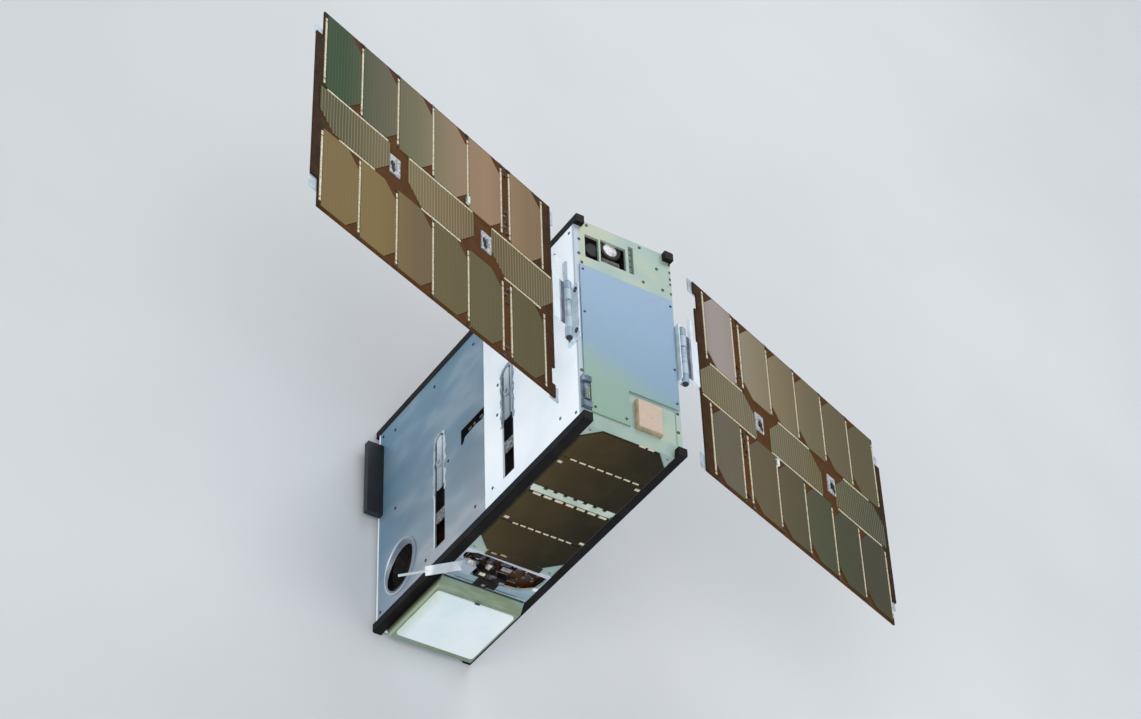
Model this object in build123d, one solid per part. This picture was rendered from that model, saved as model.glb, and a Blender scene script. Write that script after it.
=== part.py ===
from build123d import *
import math
import os

# A six-unit small satellite with two hinged solar wings, in millimetres, +Z up.
# It stands on the rear ends of its four corner rails, so its front end face looks up.
# X runs across its width, Y across its height and Z along its length.
# The origin is the middle of the whole object's box, on the floor.

# Body, over the corner rails
BODY_WIDTH = 100.0
BODY_HEIGHT = 226.3
BODY_LENGTH = 340.5
HALF_W = BODY_WIDTH / 2
HALF_H = BODY_HEIGHT / 2
RAIL_SIDE = 8.5
RAIL_PROUD = 5.0
RAIL_EDGE = 1.0
LEDGE_REACH = 5.0
LEDGE_THICK = 1.5

# Panels seat on the rails' ledges, a little below the rails' running faces
PANEL_INSET = 0.5
SIDE_PANEL_THICK = 2.0
END_PANEL_THICK = 2.5
PANEL_SEAM = 0.6
TRIM_GAP = 0.2
FRONT_FACE = BODY_LENGTH - RAIL_PROUD
REAR_FACE = RAIL_PROUD
FRONT_INNER = FRONT_FACE - END_PANEL_THICK
REAR_INNER = REAR_FACE + END_PANEL_THICK
SIDE_OUTER = HALF_W - PANEL_INSET
SIDE_INNER = SIDE_OUTER - SIDE_PANEL_THICK
FLAT_OUTER = HALF_H - PANEL_INSET
FLAT_INNER = FLAT_OUTER - SIDE_PANEL_THICK
RAIL_INNER_X = HALF_W - RAIL_SIDE
RAIL_INNER_Y = HALF_H - RAIL_SIDE
FACE_HALF = RAIL_INNER_X - TRIM_GAP

# Solar cells of the wings and of the body's two wide faces
CELL_LONG = 80.0
CELL_WIDE = 40.0
CELL_THICK = 0.8
CELL_CROP = 13.0
LYING_CROP = 16.0
BODY_CELL_MARGIN = 1.5
BODY_CELL_WIDE = 40.5
BODY_CELL_CROP = 13.0
CELL_BOARD_THICK = 0.4
CELL_BOARD_MARGIN = 1.0
LOWER_CELL_STARTS = (8.2, 49.6, 102.2, 145.4)
UPPER_CELL_PITCH = 45.0
UPPER_CELL_COUNT = 7
UPPER_CELL_STARTS = [LOWER_CELL_STARTS[0] + k * UPPER_CELL_PITCH for k in range(UPPER_CELL_COUNT)]

# Hinges: the axis stands outboard of the rails, close behind their front ends
WING_YAW = 19.6
AXIS_OUTBOARD = 7.5
AXIS_FROM_FRONT = 5.8
AXIS_X = HALF_W + AXIS_OUTBOARD
AXIS_Z = BODY_LENGTH - AXIS_FROM_FRONT
HINGE_CENTRE = 3.0
HINGE_HALF = 30.0
KNUCKLE_RADIUS = 3.4
PIN_RADIUS = 1.5
PIN_CLEARANCE = 0.05
KNUCKLE_GAP = 0.4
BRACKET_THICK = 1.6
BRACKET_DEEP = 17.5
LEAF_THICK = 1.4

# Wings: sizes out from the hinge axis, then up and down from the wing's middle
WING_MIDDLE = -1.2
BOARD_THICK = 1.6
ROW_GAP = 3.0
BOARD_EDGE = 2.0
BOARD_HALF = CELL_WIDE / 2 + ROW_GAP + CELL_LONG + BOARD_EDGE
COLUMN_GAP = 3.1
COLUMN_BREAK = 10.6
FIRST_COLUMN = 36.2
COLUMN_COUNT = 6
HOLD_DOWN_PITCH = CELL_LONG + 32.0
BUSHING = (12.0, 19.0, 1.0)
BUSHING_HOLE = (10.0, 17.0)
BUSHING_SLOT = (4.6, 9.6)
CELL_CLEAR = 0.5
BOARD_ROOT = 22.0
FIRST_HOLD_DOWN = BOARD_ROOT + CELL_LONG + 2 * CELL_CLEAR + BUSHING[0] / 2
HOLD_DOWNS = (FIRST_HOLD_DOWN, FIRST_HOLD_DOWN + HOLD_DOWN_PITCH)
COLUMNS = [FIRST_COLUMN + k * (CELL_WIDE + COLUMN_GAP) + (COLUMN_BREAK if k else 0.0)
           for k in range(COLUMN_COUNT)]
BOARD_END = COLUMNS[-1] + CELL_WIDE + 3.5
TIP_STRIP = 8.0
TIP_STRIP_HALF = 77.0

os.makedirs("parts", exist_ok=True)
parts = {}


def block(x0, x1, y0, y1, z0, z1):
    """A box between two corners, given as low and high values."""
    return Pos((x0 + x1) / 2, (y0 + y1) / 2, (z0 + z1) / 2) * Box(x1 - x0, y1 - y0, z1 - z0)


def upright_plate(points, z0, z1):
    """A flat outline in X and Y, raised from z0 to z1."""
    return Pos(0, 0, z0) * extrude(make_face(Polyline(*points, close=True)), amount=z1 - z0)


def cross_bar(points, x0, x1):
    """An outline in Y and Z, drawn out along X from x0 to x1."""
    return Pos(x0, 0, 0) * extrude(Plane.YZ * make_face(Polyline(*points, close=True)), amount=x1 - x0)


def from_front(depth):
    """The level of a place that lies the given depth behind the rails' front ends."""
    return BODY_LENGTH - depth


def up(height):
    """The Y of a place at the given height over the lower face."""
    return height - HALF_H


def below_top(drop):
    """The Y of a place at the given drop under the upper face."""
    return HALF_H - drop


def across(width):
    """The X of a place at the given distance from the left face."""
    return width - HALF_W


def side_block(side, x0, x1, y0, y1, z0, z1):
    """A box on one side of the body: X is given outward and takes the side's sign."""
    xa, xb = sorted((side * x0, side * x1))
    return block(xa, xb, y0, y1, z0, z1)


def side_bore(side, x0, x1, y, z, radius):
    """A round bar or bore that lies across the body, on one side."""
    return Pos(side * (x0 + x1) / 2, y, z) * Rot(0, 90, 0) * Cylinder(radius, x1 - x0)


def face_block(face, x0, x1, rise0, rise1, d0, d1):
    """A box on the lower (-1) or upper (1) face: rises outward, depths from the front."""
    ya, yb = sorted((face * (FLAT_OUTER + rise0), face * (FLAT_OUTER + rise1)))
    return block(x0, x1, ya, yb, from_front(d1), from_front(d0))


def face_plate(face, points, rise0, rise1):
    """An outline in X and depth, lying on the lower or upper face."""
    flat = make_face(Polyline(*[(x, from_front(d)) for x, d in points], close=True))
    solid = extrude(Plane.XZ * flat, amount=rise1 - rise0)
    return Pos(0, -FLAT_OUTER - rise0 if face < 0 else FLAT_OUTER + rise1, 0) * solid


def cropped(x0, x1, y0, y1, low_left=0.0, low_right=0.0, high_right=0.0, high_left=0.0):
    """The points of a box outline with any of its corners cropped at 45 degrees."""
    points = []
    corners = ((x0, y0, low_left, (0, 1), (1, 0)), (x1, y0, low_right, (-1, 0), (0, 1)),
               (x1, y1, high_right, (0, -1), (-1, 0)), (x0, y1, high_left, (1, 0), (0, -1)))
    for x, y, c, before, after in corners:
        if c:
            points += [(x + before[0] * c, y + before[1] * c), (x + after[0] * c, y + after[1] * c)]
        else:
            points.append((x, y))
    return points


# Rails: square bars with a chamfered running edge and two ledges for the panels
def rail(side_x, side_y):
    """One corner rail."""
    outline = [(RAIL_INNER_X, RAIL_INNER_Y), (HALF_W, RAIL_INNER_Y), (HALF_W, HALF_H - RAIL_EDGE),
               (HALF_W - RAIL_EDGE, HALF_H), (RAIL_INNER_X, HALF_H)]
    shape = upright_plate(outline, 0, BODY_LENGTH)
    shape += block(SIDE_INNER - LEDGE_THICK, SIDE_INNER, RAIL_INNER_Y - LEDGE_REACH, RAIL_INNER_Y,
                   REAR_INNER, FRONT_INNER)
    shape += block(RAIL_INNER_X - LEDGE_REACH, RAIL_INNER_X, FLAT_INNER - LEDGE_THICK, FLAT_INNER,
                   REAR_INNER, FRONT_INNER)
    if side_x < 0:
        shape = mirror(shape, about=Plane.YZ)
    if side_y < 0:
        shape = mirror(shape, about=Plane.XZ)
    return shape


CORNERS = ((-1, -1), (1, -1), (-1, 1), (1, 1))
rail_shapes = [rail(sx, sy) for sx, sy in CORNERS]
parts["rails"] = Compound(rail_shapes)


def clear_of_rails(shape):
    """Cuts the rails' square room out of a plate that fills the body's section."""
    for sx, sy in CORNERS:
        x0, x1 = sorted((sx * RAIL_INNER_X, sx * HALF_W))
        y0, y1 = sorted((sy * RAIL_INNER_Y, sy * HALF_H))
        shape -= block(x0, x1, y0, y1, 0, BODY_LENGTH)
    return shape


# Side panels: a white front one and a grey rear one on each side, with hold-down slots
SPLIT_DEPTH = 152.5
SPLIT = from_front(SPLIT_DEPTH)
SLOT_WIDE = 17.6
SLOT_LOW = 22.0
SLOT_RISES = (28.05, 32.05)
SLOTS = [(AXIS_FROM_FRONT + place, SLOT_LOW - HALF_H, WING_MIDDLE + rise)
         for place, rise in zip(HOLD_DOWNS, SLOT_RISES)]
PORT_HEIGHT = 44.0
PORT_FROM_REAR = 46.0
PORT_Y = up(PORT_HEIGHT)
PORT_DEPTH = BODY_LENGTH - PORT_FROM_REAR
PORT_RADIUS = 24.0
RECESS_LOW = 106.5
RECESS_HIGH = 121.5
RECESS_LONG = 38.0
RECESS = (up(RECESS_LOW), up(RECESS_HIGH), SPLIT - RECESS_LONG, SPLIT - PANEL_SEAM / 2)
RECESS_BAND = 7.5
RECESS_FOOT = 5.0
RECESS_DEEP = 7.0
RECESS_WALL = 1.2


def slot_cut(side, depth, low, high):
    """The tool for one tall slot with a round top."""
    r = SLOT_WIDE / 2
    level = from_front(depth)
    tool = side_block(side, SIDE_INNER - 1, SIDE_OUTER + 1, low, high - r, level - r, level + r)
    return tool + side_bore(side, SIDE_INNER - 1, SIDE_OUTER + 1, high - r, level, r)


def side_panel(side, z0, z1):
    """A side panel from z0 to z1, with the slots that fall on it."""
    plate = side_block(side, SIDE_INNER, SIDE_OUTER, -RAIL_INNER_Y, RAIL_INNER_Y, z0, z1)
    for depth, low, high in SLOTS:
        if z0 < from_front(depth) < z1:
            plate -= slot_cut(side, depth, low, high)
    return plate


SIDES = ((-1, "left"), (1, "right"))
for side, name in SIDES:
    parts[f"side_panel_{name}_front"] = side_panel(side, SPLIT + PANEL_SEAM / 2, FRONT_INNER)
    rear = side_panel(side, REAR_INNER, SPLIT - PANEL_SEAM / 2)
    if side < 0:
        rear -= side_bore(side, SIDE_INNER - 1, SIDE_OUTER + 1, PORT_Y, from_front(PORT_DEPTH), PORT_RADIUS)
        y0, y1, z0, z1 = RECESS
        rear -= side_block(side, SIDE_INNER - 1, SIDE_OUTER + 1, y1 - RECESS_BAND, y1, z0, z1 + 1)
        rear -= side_block(side, SIDE_INNER - 1, SIDE_OUTER + 1, y0, y1, z0, z0 + RECESS_FOOT)
    parts[f"side_panel_{name}_rear"] = rear

# Left side: a round port with a bright coned ring and a dark cup behind it, and a small sunk recess
PORT_FLANGE = 2.0
PORT_MOUTH = 19.5
PORT_CONE = 4.0
PORT_WALL = 1.5
PORT_WELL = 16.0
port_level = from_front(PORT_DEPTH)
port_body = PORT_RADIUS - PIN_CLEARANCE
ring_profile = [(PORT_MOUTH, 1.0 - PORT_CONE), (port_body, 1.0 - PORT_CONE), (port_body, 0),
                (PORT_RADIUS + PORT_FLANGE, 0), (PORT_RADIUS + PORT_FLANGE, 1.0), (PORT_RADIUS - 0.5, 1.0)]
port_ring = revolve(Plane.XZ * make_face(Polyline(*ring_profile, close=True)), axis=Axis.Z)
parts["side_port"] = Pos(-SIDE_OUTER, PORT_Y, port_level) * Rot(0, -90, 0) * port_ring
cup_mouth = SIDE_OUTER - PORT_CONE + 1.0
cup = side_bore(-1, SIDE_OUTER - PORT_WELL, cup_mouth, PORT_Y, port_level, PORT_MOUTH + PORT_WALL)
parts["port_cup"] = cup - side_bore(-1, SIDE_OUTER - PORT_WELL + PORT_WALL, cup_mouth + 1, PORT_Y,
                                    port_level, PORT_MOUTH)
y0, y1, z0, z1 = RECESS
pan = side_block(-1, SIDE_OUTER - RECESS_DEEP - RECESS_WALL, SIDE_INNER, y0 - RECESS_WALL, y1 + RECESS_WALL,
                 z0 - RECESS_WALL, z1 + RECESS_WALL)
parts["side_recess"] = pan - side_block(-1, SIDE_OUTER - RECESS_DEEP, SIDE_OUTER, y0, y1, z0, z1)

# Hold-down mechanisms behind the slots: bright trays, blocks with a cup, and dark cross bars
TRAY_DEEP = 12.0
TRAY_WALL = 1.5
TRAY_LIP = 2.5
TRAY_LOW = WING_MIDDLE - 39.95
HOLDER_HALF = 9.0
HOLDER_WIDE = 6.0
CUP_RADIUS = 4.6
CUP_BORE = 2.4
ARM_LOW = WING_MIDDLE - 35.95
NUT = (WING_MIDDLE - 32.95, WING_MIDDLE - 26.95)
BARS = (53.0, 58.0)
BAR_WIDE = 2.4
BAR_REACH = 3.0
trays, holders, bars = [], [], []
for side, _ in SIDES:
    for depth, low, high in SLOTS:
        level = from_front(depth)
        r = SLOT_WIDE / 2
        floor = SIDE_INNER - TRAY_DEEP + TRAY_WALL
        tray = side_block(side, SIDE_INNER - TRAY_DEEP, SIDE_INNER, TRAY_LOW, high + TRAY_LIP,
                          level - r - TRAY_LIP, level + r + TRAY_LIP)
        tray -= side_block(side, floor, SIDE_INNER + 1, TRAY_LOW + TRAY_WALL, high - r, level - r,
                           level + r)
        tray -= side_bore(side, floor, SIDE_INNER + 1, high - r, level, r)
        trays.append(tray)
        hold = side_block(side, floor, SIDE_OUTER - 3.0, WING_MIDDLE - HOLDER_HALF, WING_MIDDLE + HOLDER_HALF,
                          level - HOLDER_WIDE, level + HOLDER_WIDE)
        hold += side_bore(side, SIDE_OUTER - 3.0, SIDE_OUTER + 0.8, WING_MIDDLE, level, CUP_RADIUS)
        hold -= side_bore(side, SIDE_OUTER - 2.0, SIDE_OUTER + 2.0, WING_MIDDLE, level, CUP_BORE)
        hold += side_block(side, floor, floor + 4.5, ARM_LOW, WING_MIDDLE - HOLDER_HALF, level - 2.6, level + 2.6)
        hold += side_block(side, floor + 4.5, floor + 7.5, *NUT, level - 3.6, level + 3.6)
        hold += side_block(side, floor, floor + 6.0, WING_MIDDLE + HOLDER_HALF, high - 12.0,
                           level - 4.2, level + 1.2)
        holders.append(hold)
        for height in BARS:
            bars.append(side_block(side, SIDE_INNER - BAR_REACH, SIDE_INNER, up(height), up(height) + BAR_WIDE,
                                   level - r - BAR_REACH, level + r + BAR_REACH))
parts["hold_down_trays"] = Compound(trays)
parts["hold_down_blocks"] = Compound(holders)
parts["slot_cross_bars"] = Compound(bars)

# Front end panel: windows, a sunk pocket round the patch and a folded lower lip
WINDOWS = ((11.5, 25.5, 41.3, 15.3), (27.4, 53.0, 39.3, 13.9))
SENSOR_SLOT = (56.0, 61.0, 39.3, 8.3)
CREASE = 13.0
LIP_DROP = 1.8
RADIATOR_THICK = 1.2
RADIATOR_TOP = 53.3
STEP_HEIGHT = 51.5
STEP_X = 48.0
POCKET_DEEP = 0.8
front = clear_of_rails(block(-SIDE_OUTER, SIDE_OUTER, -FLAT_OUTER, FLAT_OUTER, FRONT_INNER, FRONT_FACE))
for x0, x1, h0, h1 in WINDOWS + (SENSOR_SLOT,):
    front -= block(across(x0), across(x1), below_top(h0), below_top(h1), FRONT_INNER - 1, FRONT_FACE + 1)
front -= block(across(STEP_X), RAIL_INNER_X + 3.0, up(CREASE) + 1, up(STEP_HEIGHT),
               FRONT_FACE - POCKET_DEEP, FRONT_FACE + 1)
front -= cross_bar([(up(CREASE), FRONT_FACE), (-FLAT_OUTER - 1, FRONT_FACE - LIP_DROP),
                    (-FLAT_OUTER - 1, FRONT_FACE + 1),
                    (up(CREASE), FRONT_FACE + 1)], -HALF_W, HALF_W)
parts["front_panel"] = front
parts["rear_panel"] = clear_of_rails(block(-SIDE_OUTER, SIDE_OUTER, -FLAT_OUTER, FLAT_OUTER, REAR_FACE,
                                           REAR_INNER))

# Mirror radiator, stepped round the patch and cut back beside the connector
CONNECTOR = (1.0, 9.5, 12.0 + 3.0, 47.5)
radiator = [(across(4.5), below_top(RADIATOR_TOP)), (across(4.5), up(CONNECTOR[3]) + 1),
            (across(CONNECTOR[1]) + 1, up(CONNECTOR[3]) + 1),
            (across(CONNECTOR[1]) + 1, up(CREASE) + 1), (across(STEP_X), up(CREASE) + 1),
            (across(STEP_X), up(STEP_HEIGHT)),
            (SIDE_OUTER - 1.5, up(STEP_HEIGHT)), (SIDE_OUTER - 1.5, below_top(RADIATOR_TOP))]
parts["radiator"] = upright_plate(radiator, FRONT_FACE, FRONT_FACE + RADIATOR_THICK)

# Patch antenna on its brown base, in the pocket
PATCH = (54.4, 77.4, 15.5, 43.5)
PATCH_THICK = 1.4
PATCH_MARGIN = 0.8
PATCH_FEED = (12.6, 13.0)
FEED_RADIUS = 1.1
px0, px1, ph0, ph1 = across(PATCH[0]), across(PATCH[1]), up(PATCH[2]), up(PATCH[3])
pocket_floor = FRONT_FACE - POCKET_DEEP
patch_foot = BODY_LENGTH - PATCH_THICK - 0.5
parts["patch_base"] = block(px0 - PATCH_MARGIN, px1 + PATCH_MARGIN, ph0 - PATCH_MARGIN, ph1 + PATCH_MARGIN,
                            pocket_floor, patch_foot)
patch = block(px0, px1, ph0, ph1, patch_foot, patch_foot + PATCH_THICK)
feed = Pos(px0 + PATCH_FEED[0], ph0 + PATCH_FEED[1], patch_foot + PATCH_THICK) * Cylinder(FEED_RADIUS, 0.8)
parts["patch_antenna"] = patch + feed

# Connector bracket at the front face's lower left corner: a back plate, two ears and a plug block
cx0, cx1, ch0, ch1 = across(CONNECTOR[0]), across(CONNECTOR[1]), up(CONNECTOR[2]), up(CONNECTOR[3])
EAR = 5.5
bracket = block(cx0, cx1, ch0, ch1, FRONT_FACE, FRONT_FACE + 1.2)
for y in (ch0, ch1 - EAR):
    bracket += block(cx0, cx1, y, y + EAR, FRONT_FACE, FRONT_FACE + 4.2)
bracket += block(cx0 + 2.0, cx1 - 1.5, ch0 + EAR + 3.0, ch1 - EAR - 3.0, FRONT_FACE, FRONT_FACE + 3.4)
parts["connector_bracket"] = bracket

# Star cameras behind the windows, and a sun sensor behind the narrow slot
HOUSING_WALL = 1.4
HOUSING_DEEP = 24.0
housing = None
for x0, x1, h0, h1 in WINDOWS:
    box = block(across(x0) - HOUSING_WALL, across(x1) + HOUSING_WALL, below_top(h0) - HOUSING_WALL,
                below_top(h1) + HOUSING_WALL,
                FRONT_INNER - HOUSING_DEEP, FRONT_INNER)
    housing = box if housing is None else housing + box
for x0, x1, h0, h1 in WINDOWS:
    housing -= block(across(x0), across(x1), below_top(h0), below_top(h1), FRONT_INNER - HOUSING_DEEP + HOUSING_WALL,
                     FRONT_INNER + 1)
parts["star_camera_housings"] = housing
CAMERAS = ((18.5, 28.3, 5.2, 16.0), (38.5, 22.5, 7.0, 20.0))
camera_floor = FRONT_INNER - HOUSING_DEEP + HOUSING_WALL
barrels, lenses = [], []
for x, h, r, tall in CAMERAS:
    place = Pos(across(x), below_top(h), camera_floor)
    tube = Cylinder(r, tall, align=(Align.CENTER, Align.CENTER, Align.MIN))
    tube += Cylinder(r + 1.2, 5.0, align=(Align.CENTER, Align.CENTER, Align.MIN))
    tube -= Pos(0, 0, tall - 4.0) * Cylinder(r - 1.0, 8.0, align=(Align.CENTER, Align.CENTER, Align.MIN))
    barrels.append(place * tube)
    glass = [(0, 0), (r - 1.1, 0), (r - 1.1, 0.6), (0.5 * r, 2.2), (0, 2.2)]
    lenses.append(place * Pos(0, 0, tall - 4.0) * revolve(Plane.XZ * make_face(Polyline(*glass, close=True)), axis=Axis.Z))
parts["star_camera_barrels"] = Compound(barrels)
parts["star_camera_lenses"] = Compound(lenses)
sx0, sx1, sh0, sh1 = across(SENSOR_SLOT[0]), across(SENSOR_SLOT[1]), below_top(SENSOR_SLOT[2]), below_top(SENSOR_SLOT[3])
sensor = block(sx0 - 1.2, sx1 + 1.5, sh0 - 1.5, sh1 + 1.0, FRONT_INNER - 1.6, FRONT_INNER)
for k in range(4):
    y = sh0 + 3.0 + k * 7.0
    sensor += block(sx0 + 0.9, sx1 - 0.9, y, y + 4.5, FRONT_INNER, FRONT_INNER + 0.7)
parts["sun_sensor"] = sensor

# Lower and upper faces: panels, cells and the lower face's notched strip
LOWER_SEAM = 236.0
CUT_LEFT, CUT_RIGHT = -FACE_HALF + 1.5, FACE_HALF - 1.1
CUT_OUT = ((CUT_LEFT, 31.8), (CUT_LEFT, 36.7), (CUT_LEFT + 10.5, 40.8), (CUT_RIGHT, 38.4), (CUT_RIGHT, 29.0),
           (CUT_RIGHT - 1.7, 20.0), (CUT_RIGHT - 12.6, 11.6), (10.5, 9.9), (-20.9, 12.0), (-30.0, 19.0))
cut_out = face_plate(-1, [(x, LOWER_SEAM - ahead) for x, ahead in CUT_OUT], -SIDE_PANEL_THICK - 1, 1)
panel_front, panel_rear = BODY_LENGTH - FRONT_INNER, BODY_LENGTH - REAR_INNER
lower = face_block(-1, -RAIL_INNER_X, RAIL_INNER_X, -SIDE_PANEL_THICK, 0, panel_front, LOWER_SEAM)
parts["lower_panel"] = lower - cut_out
parts["antenna_panel"] = face_block(-1, -RAIL_INNER_X, RAIL_INNER_X, -SIDE_PANEL_THICK, 0,
                                    LOWER_SEAM + PANEL_SEAM, panel_rear)
parts["upper_panel"] = face_block(1, -RAIL_INNER_X, RAIL_INNER_X, -SIDE_PANEL_THICK, 0, panel_front,
                                  panel_rear)
BODY_CELL_HALF = RAIL_INNER_X - BODY_CELL_MARGIN


def body_cells(face, starts):
    """A face's cells, the first cropped at its front corners and the last at its rear ones."""
    cells = []
    for k, d in enumerate(starts):
        first = BODY_CELL_CROP if k == 0 else 0.0
        last = BODY_CELL_CROP if k == len(starts) - 1 else 0.0
        outline = cropped(-BODY_CELL_HALF, BODY_CELL_HALF, d, d + BODY_CELL_WIDE, first, first, last, last)
        cells.append(face_plate(face, outline, CELL_BOARD_THICK, CELL_BOARD_THICK + CELL_THICK))
    return Compound(cells)


parts["lower_cells"] = body_cells(-1, LOWER_CELL_STARTS)
parts["upper_cells"] = body_cells(1, UPPER_CELL_STARTS)
STRIP = (92.0, 97.0)
NOTCH = (3.0, 1.6)
strip = face_block(-1, -BODY_CELL_HALF, BODY_CELL_HALF, CELL_BOARD_THICK, CELL_BOARD_THICK + 0.5, *STRIP)
for k in range(6):
    x = -BODY_CELL_HALF + 9.0 + k * 12.0
    strip -= face_block(-1, x, x + NOTCH[0], 0, CELL_BOARD_THICK + 1, STRIP[1] - NOTCH[1], STRIP[1] + 1)
parts["notched_strip"] = strip


def cell_board(face, starts):
    """The thin dark board that a face's cells lie on, cropped as they are."""
    first, last = starts[0] - CELL_BOARD_MARGIN, starts[-1] + BODY_CELL_WIDE + CELL_BOARD_MARGIN
    outline = cropped(-FACE_HALF, FACE_HALF, first, last, *(BODY_CELL_CROP + CELL_BOARD_MARGIN,) * 4)
    return face_plate(face, outline, 0, CELL_BOARD_THICK)


parts["cell_boards"] = Compound([cell_board(-1, LOWER_CELL_STARTS), cell_board(1, UPPER_CELL_STARTS)])

# Cut-out: a pale frame round it, the circuit board behind it on four posts, chips and the tape's clamp
FRAME_START = LOWER_SEAM - 42.5
FRAME_THICK = 0.5
parts["cut_out_frame"] = face_block(-1, -FACE_HALF, FACE_HALF, 0, FRAME_THICK, FRAME_START,
                                    LOWER_SEAM - 1.0) - cut_out
BOARD_DROP = 4.0
PLATE_THICK = 1.6
BOARD_LONG = 44.0
BOARD_SEAM = 3.0
BOARD_DEPTHS = (LOWER_SEAM - BOARD_SEAM - BOARD_LONG, LOWER_SEAM - BOARD_SEAM)
board_outer = -SIDE_PANEL_THICK - BOARD_DROP
parts["circuit_board"] = face_block(-1, -FACE_HALF, FACE_HALF, board_outer - PLATE_THICK, board_outer,
                                    *BOARD_DEPTHS)
posts = []
for x in (-31.0, 31.0):
    for d in (BOARD_DEPTHS[0] + 3.5, BOARD_DEPTHS[1] - 3.5):
        posts.append(face_block(-1, x - 2.5, x + 2.5, board_outer, -SIDE_PANEL_THICK, d - 2.5, d + 2.5))
parts["board_posts"] = Compound(posts)
CHIPS = ((-24.0, 33.5, 9.0, 7.0, 3.4), (-12.0, 31.5, 6.0, 6.0, 2.2), (-6.0, 16.5, 15.0, 6.5, 7.0),
         (-22.5, 21.0, 8.0, 9.0, 1.6), (-8.0, 24.0, 9.0, 4.5, 1.6), (2.5, 33.0, 9.0, 5.0, 2.6),
         (7.0, 23.5, 5.0, 5.0, 1.4), (16.0, 30.5, 6.0, 8.0, 1.6), (27.0, 26.0, 7.0, 7.0, 1.4),
         (19.0, 17.0, 8.0, 3.0, 1.8), (34.5, 33.0, 5.0, 3.0, 2.2))
parts["board_chips"] = Compound([
    face_block(-1, x - w / 2, x + w / 2, board_outer, board_outer + t, LOWER_SEAM - ahead - deep / 2,
               LOWER_SEAM - ahead + deep / 2)
    for x, ahead, w, deep, t in CHIPS])

# Antenna on a raised green base, under a white radome
BASE = (LOWER_SEAM + 5.0, BODY_LENGTH - 11.5)
BASE_RISE = 9.0
BASE_SLOPE = (6.5, 2.0)
RADOME = (LOWER_SEAM + 12.0, BODY_LENGTH - 20.5)
RADOME_HALF = RAIL_INNER_X - 3.0
RADOME_THICK = 1.6
RADOME_CORNER = 3.0
base = [(-FLAT_OUTER, from_front(BASE[0] - BASE_SLOPE[0] + 2.5)),
        (-FLAT_OUTER - BASE_RISE, from_front(BASE[0] + 2.5)),
        (-FLAT_OUTER - BASE_RISE, from_front(BASE[1] - BASE_SLOPE[1])),
        (-FLAT_OUTER, from_front(BASE[1] + 1.5))]
parts["antenna_base"] = cross_bar(base, -FACE_HALF, FACE_HALF)
radome = face_block(-1, -RADOME_HALF, RADOME_HALF, BASE_RISE, BASE_RISE + RADOME_THICK, *RADOME)
parts["radome"] = fillet(radome.edges().filter_by(Axis.Y), RADOME_CORNER)

# Tape antenna: a stiff blade and a thin whip, from a clamp on the circuit board
TAPE_DROP = 29.0
TAPE_TWIST = -58.0
TAPE_BLADE = 42.0
TAPE_WHIP = 31.0
TAPE_WIDE = 8.0
TAPE_THICK = 0.8
WHIP_RADIUS = 1.1
TAPE_OVERLAP = 2.0
TAPE_ROOT_X = across(15.0)
TAPE_DEPTH = LOWER_SEAM - 23.5
TAPE_RISE = 3.9
CLAMP = (across(13.6), across(24.0), FRAME_THICK, 7.6, TAPE_DEPTH - 6.0, TAPE_DEPTH + 6.0)
parts["tape_clamp"] = face_block(-1, *CLAMP)
blade = Rot(TAPE_TWIST, 0, 0) * Box(TAPE_BLADE, TAPE_THICK, TAPE_WIDE,
                                    align=(Align.MAX, Align.CENTER, Align.CENTER))
whip_middle = -TAPE_BLADE - TAPE_WHIP / 2 + TAPE_OVERLAP
whip = Pos(whip_middle, 0, 0) * Rot(0, 90, 0) * Cylinder(WHIP_RADIUS, TAPE_WHIP)
tape_root = Pos(TAPE_ROOT_X, -FLAT_OUTER - TAPE_RISE, from_front(TAPE_DEPTH))
parts["tape_antenna"] = tape_root * Rot(0, 0, TAPE_DROP) * (blade + whip) - parts["tape_clamp"]

# Equipment inside, as one plain block held by three frames
STACK_HALF = (26.0, HALF_H - 25.0)
STACK_ENDS = (REAR_INNER + 6.0, FRONT_INNER - HOUSING_DEEP - 12.0)
parts["equipment_stack"] = block(-STACK_HALF[0], STACK_HALF[0], -STACK_HALF[1], STACK_HALF[1], *STACK_ENDS)
RING_THICK = 4.0
RING_LEVELS = (REAR_INNER + 6.5, SPLIT + RECESS_WALL + PANEL_SEAM, FRONT_INNER - 47.0)
rings = []
for level in RING_LEVELS:
    ring = block(-SIDE_INNER, SIDE_INNER, -FLAT_INNER, FLAT_INNER, level, level + RING_THICK)
    ring -= block(-STACK_HALF[0], STACK_HALF[0], -STACK_HALF[1], STACK_HALF[1], level - 1,
                  level + RING_THICK + 1)
    for shape in rail_shapes:
        ring -= shape
    rings.append(ring)
parts["inner_frames"] = Compound(rings)

# Black rest behind each stowed wing's tip
REST_OUT = 16.0
REST_DEEP = 6.5
REST_SPAN = (8.55, 88.05)
parts["tip_rests"] = Compound([
    side_block(side, SIDE_OUTER, HALF_W + REST_OUT, WING_MIDDLE + REST_SPAN[0], WING_MIDDLE + REST_SPAN[1], REAR_INNER,
               REAR_INNER + REST_DEEP)
    for side, _ in SIDES])


# Hinges
def barrel(y0, y1, radius):
    """A cylinder along Y from y0 to y1, on the local hinge axis."""
    return Pos(0, (y0 + y1) / 2, 0) * Rot(90, 0, 0) * Cylinder(radius, y1 - y0)


def wing_place(side, shape):
    """Turns a flat wing piece about Y and sets it on its hinge axis."""
    return Pos(side * AXIS_X, 0, AXIS_Z) * Rot(0, WING_YAW, 0) * shape


def span(side, u0, u1, v0, v1, w0, w1):
    """A box in the wing's own directions: out from the axis, up, and towards the cells."""
    return side_block(side, u0, u1, v0, v1, w0, w1)


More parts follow.
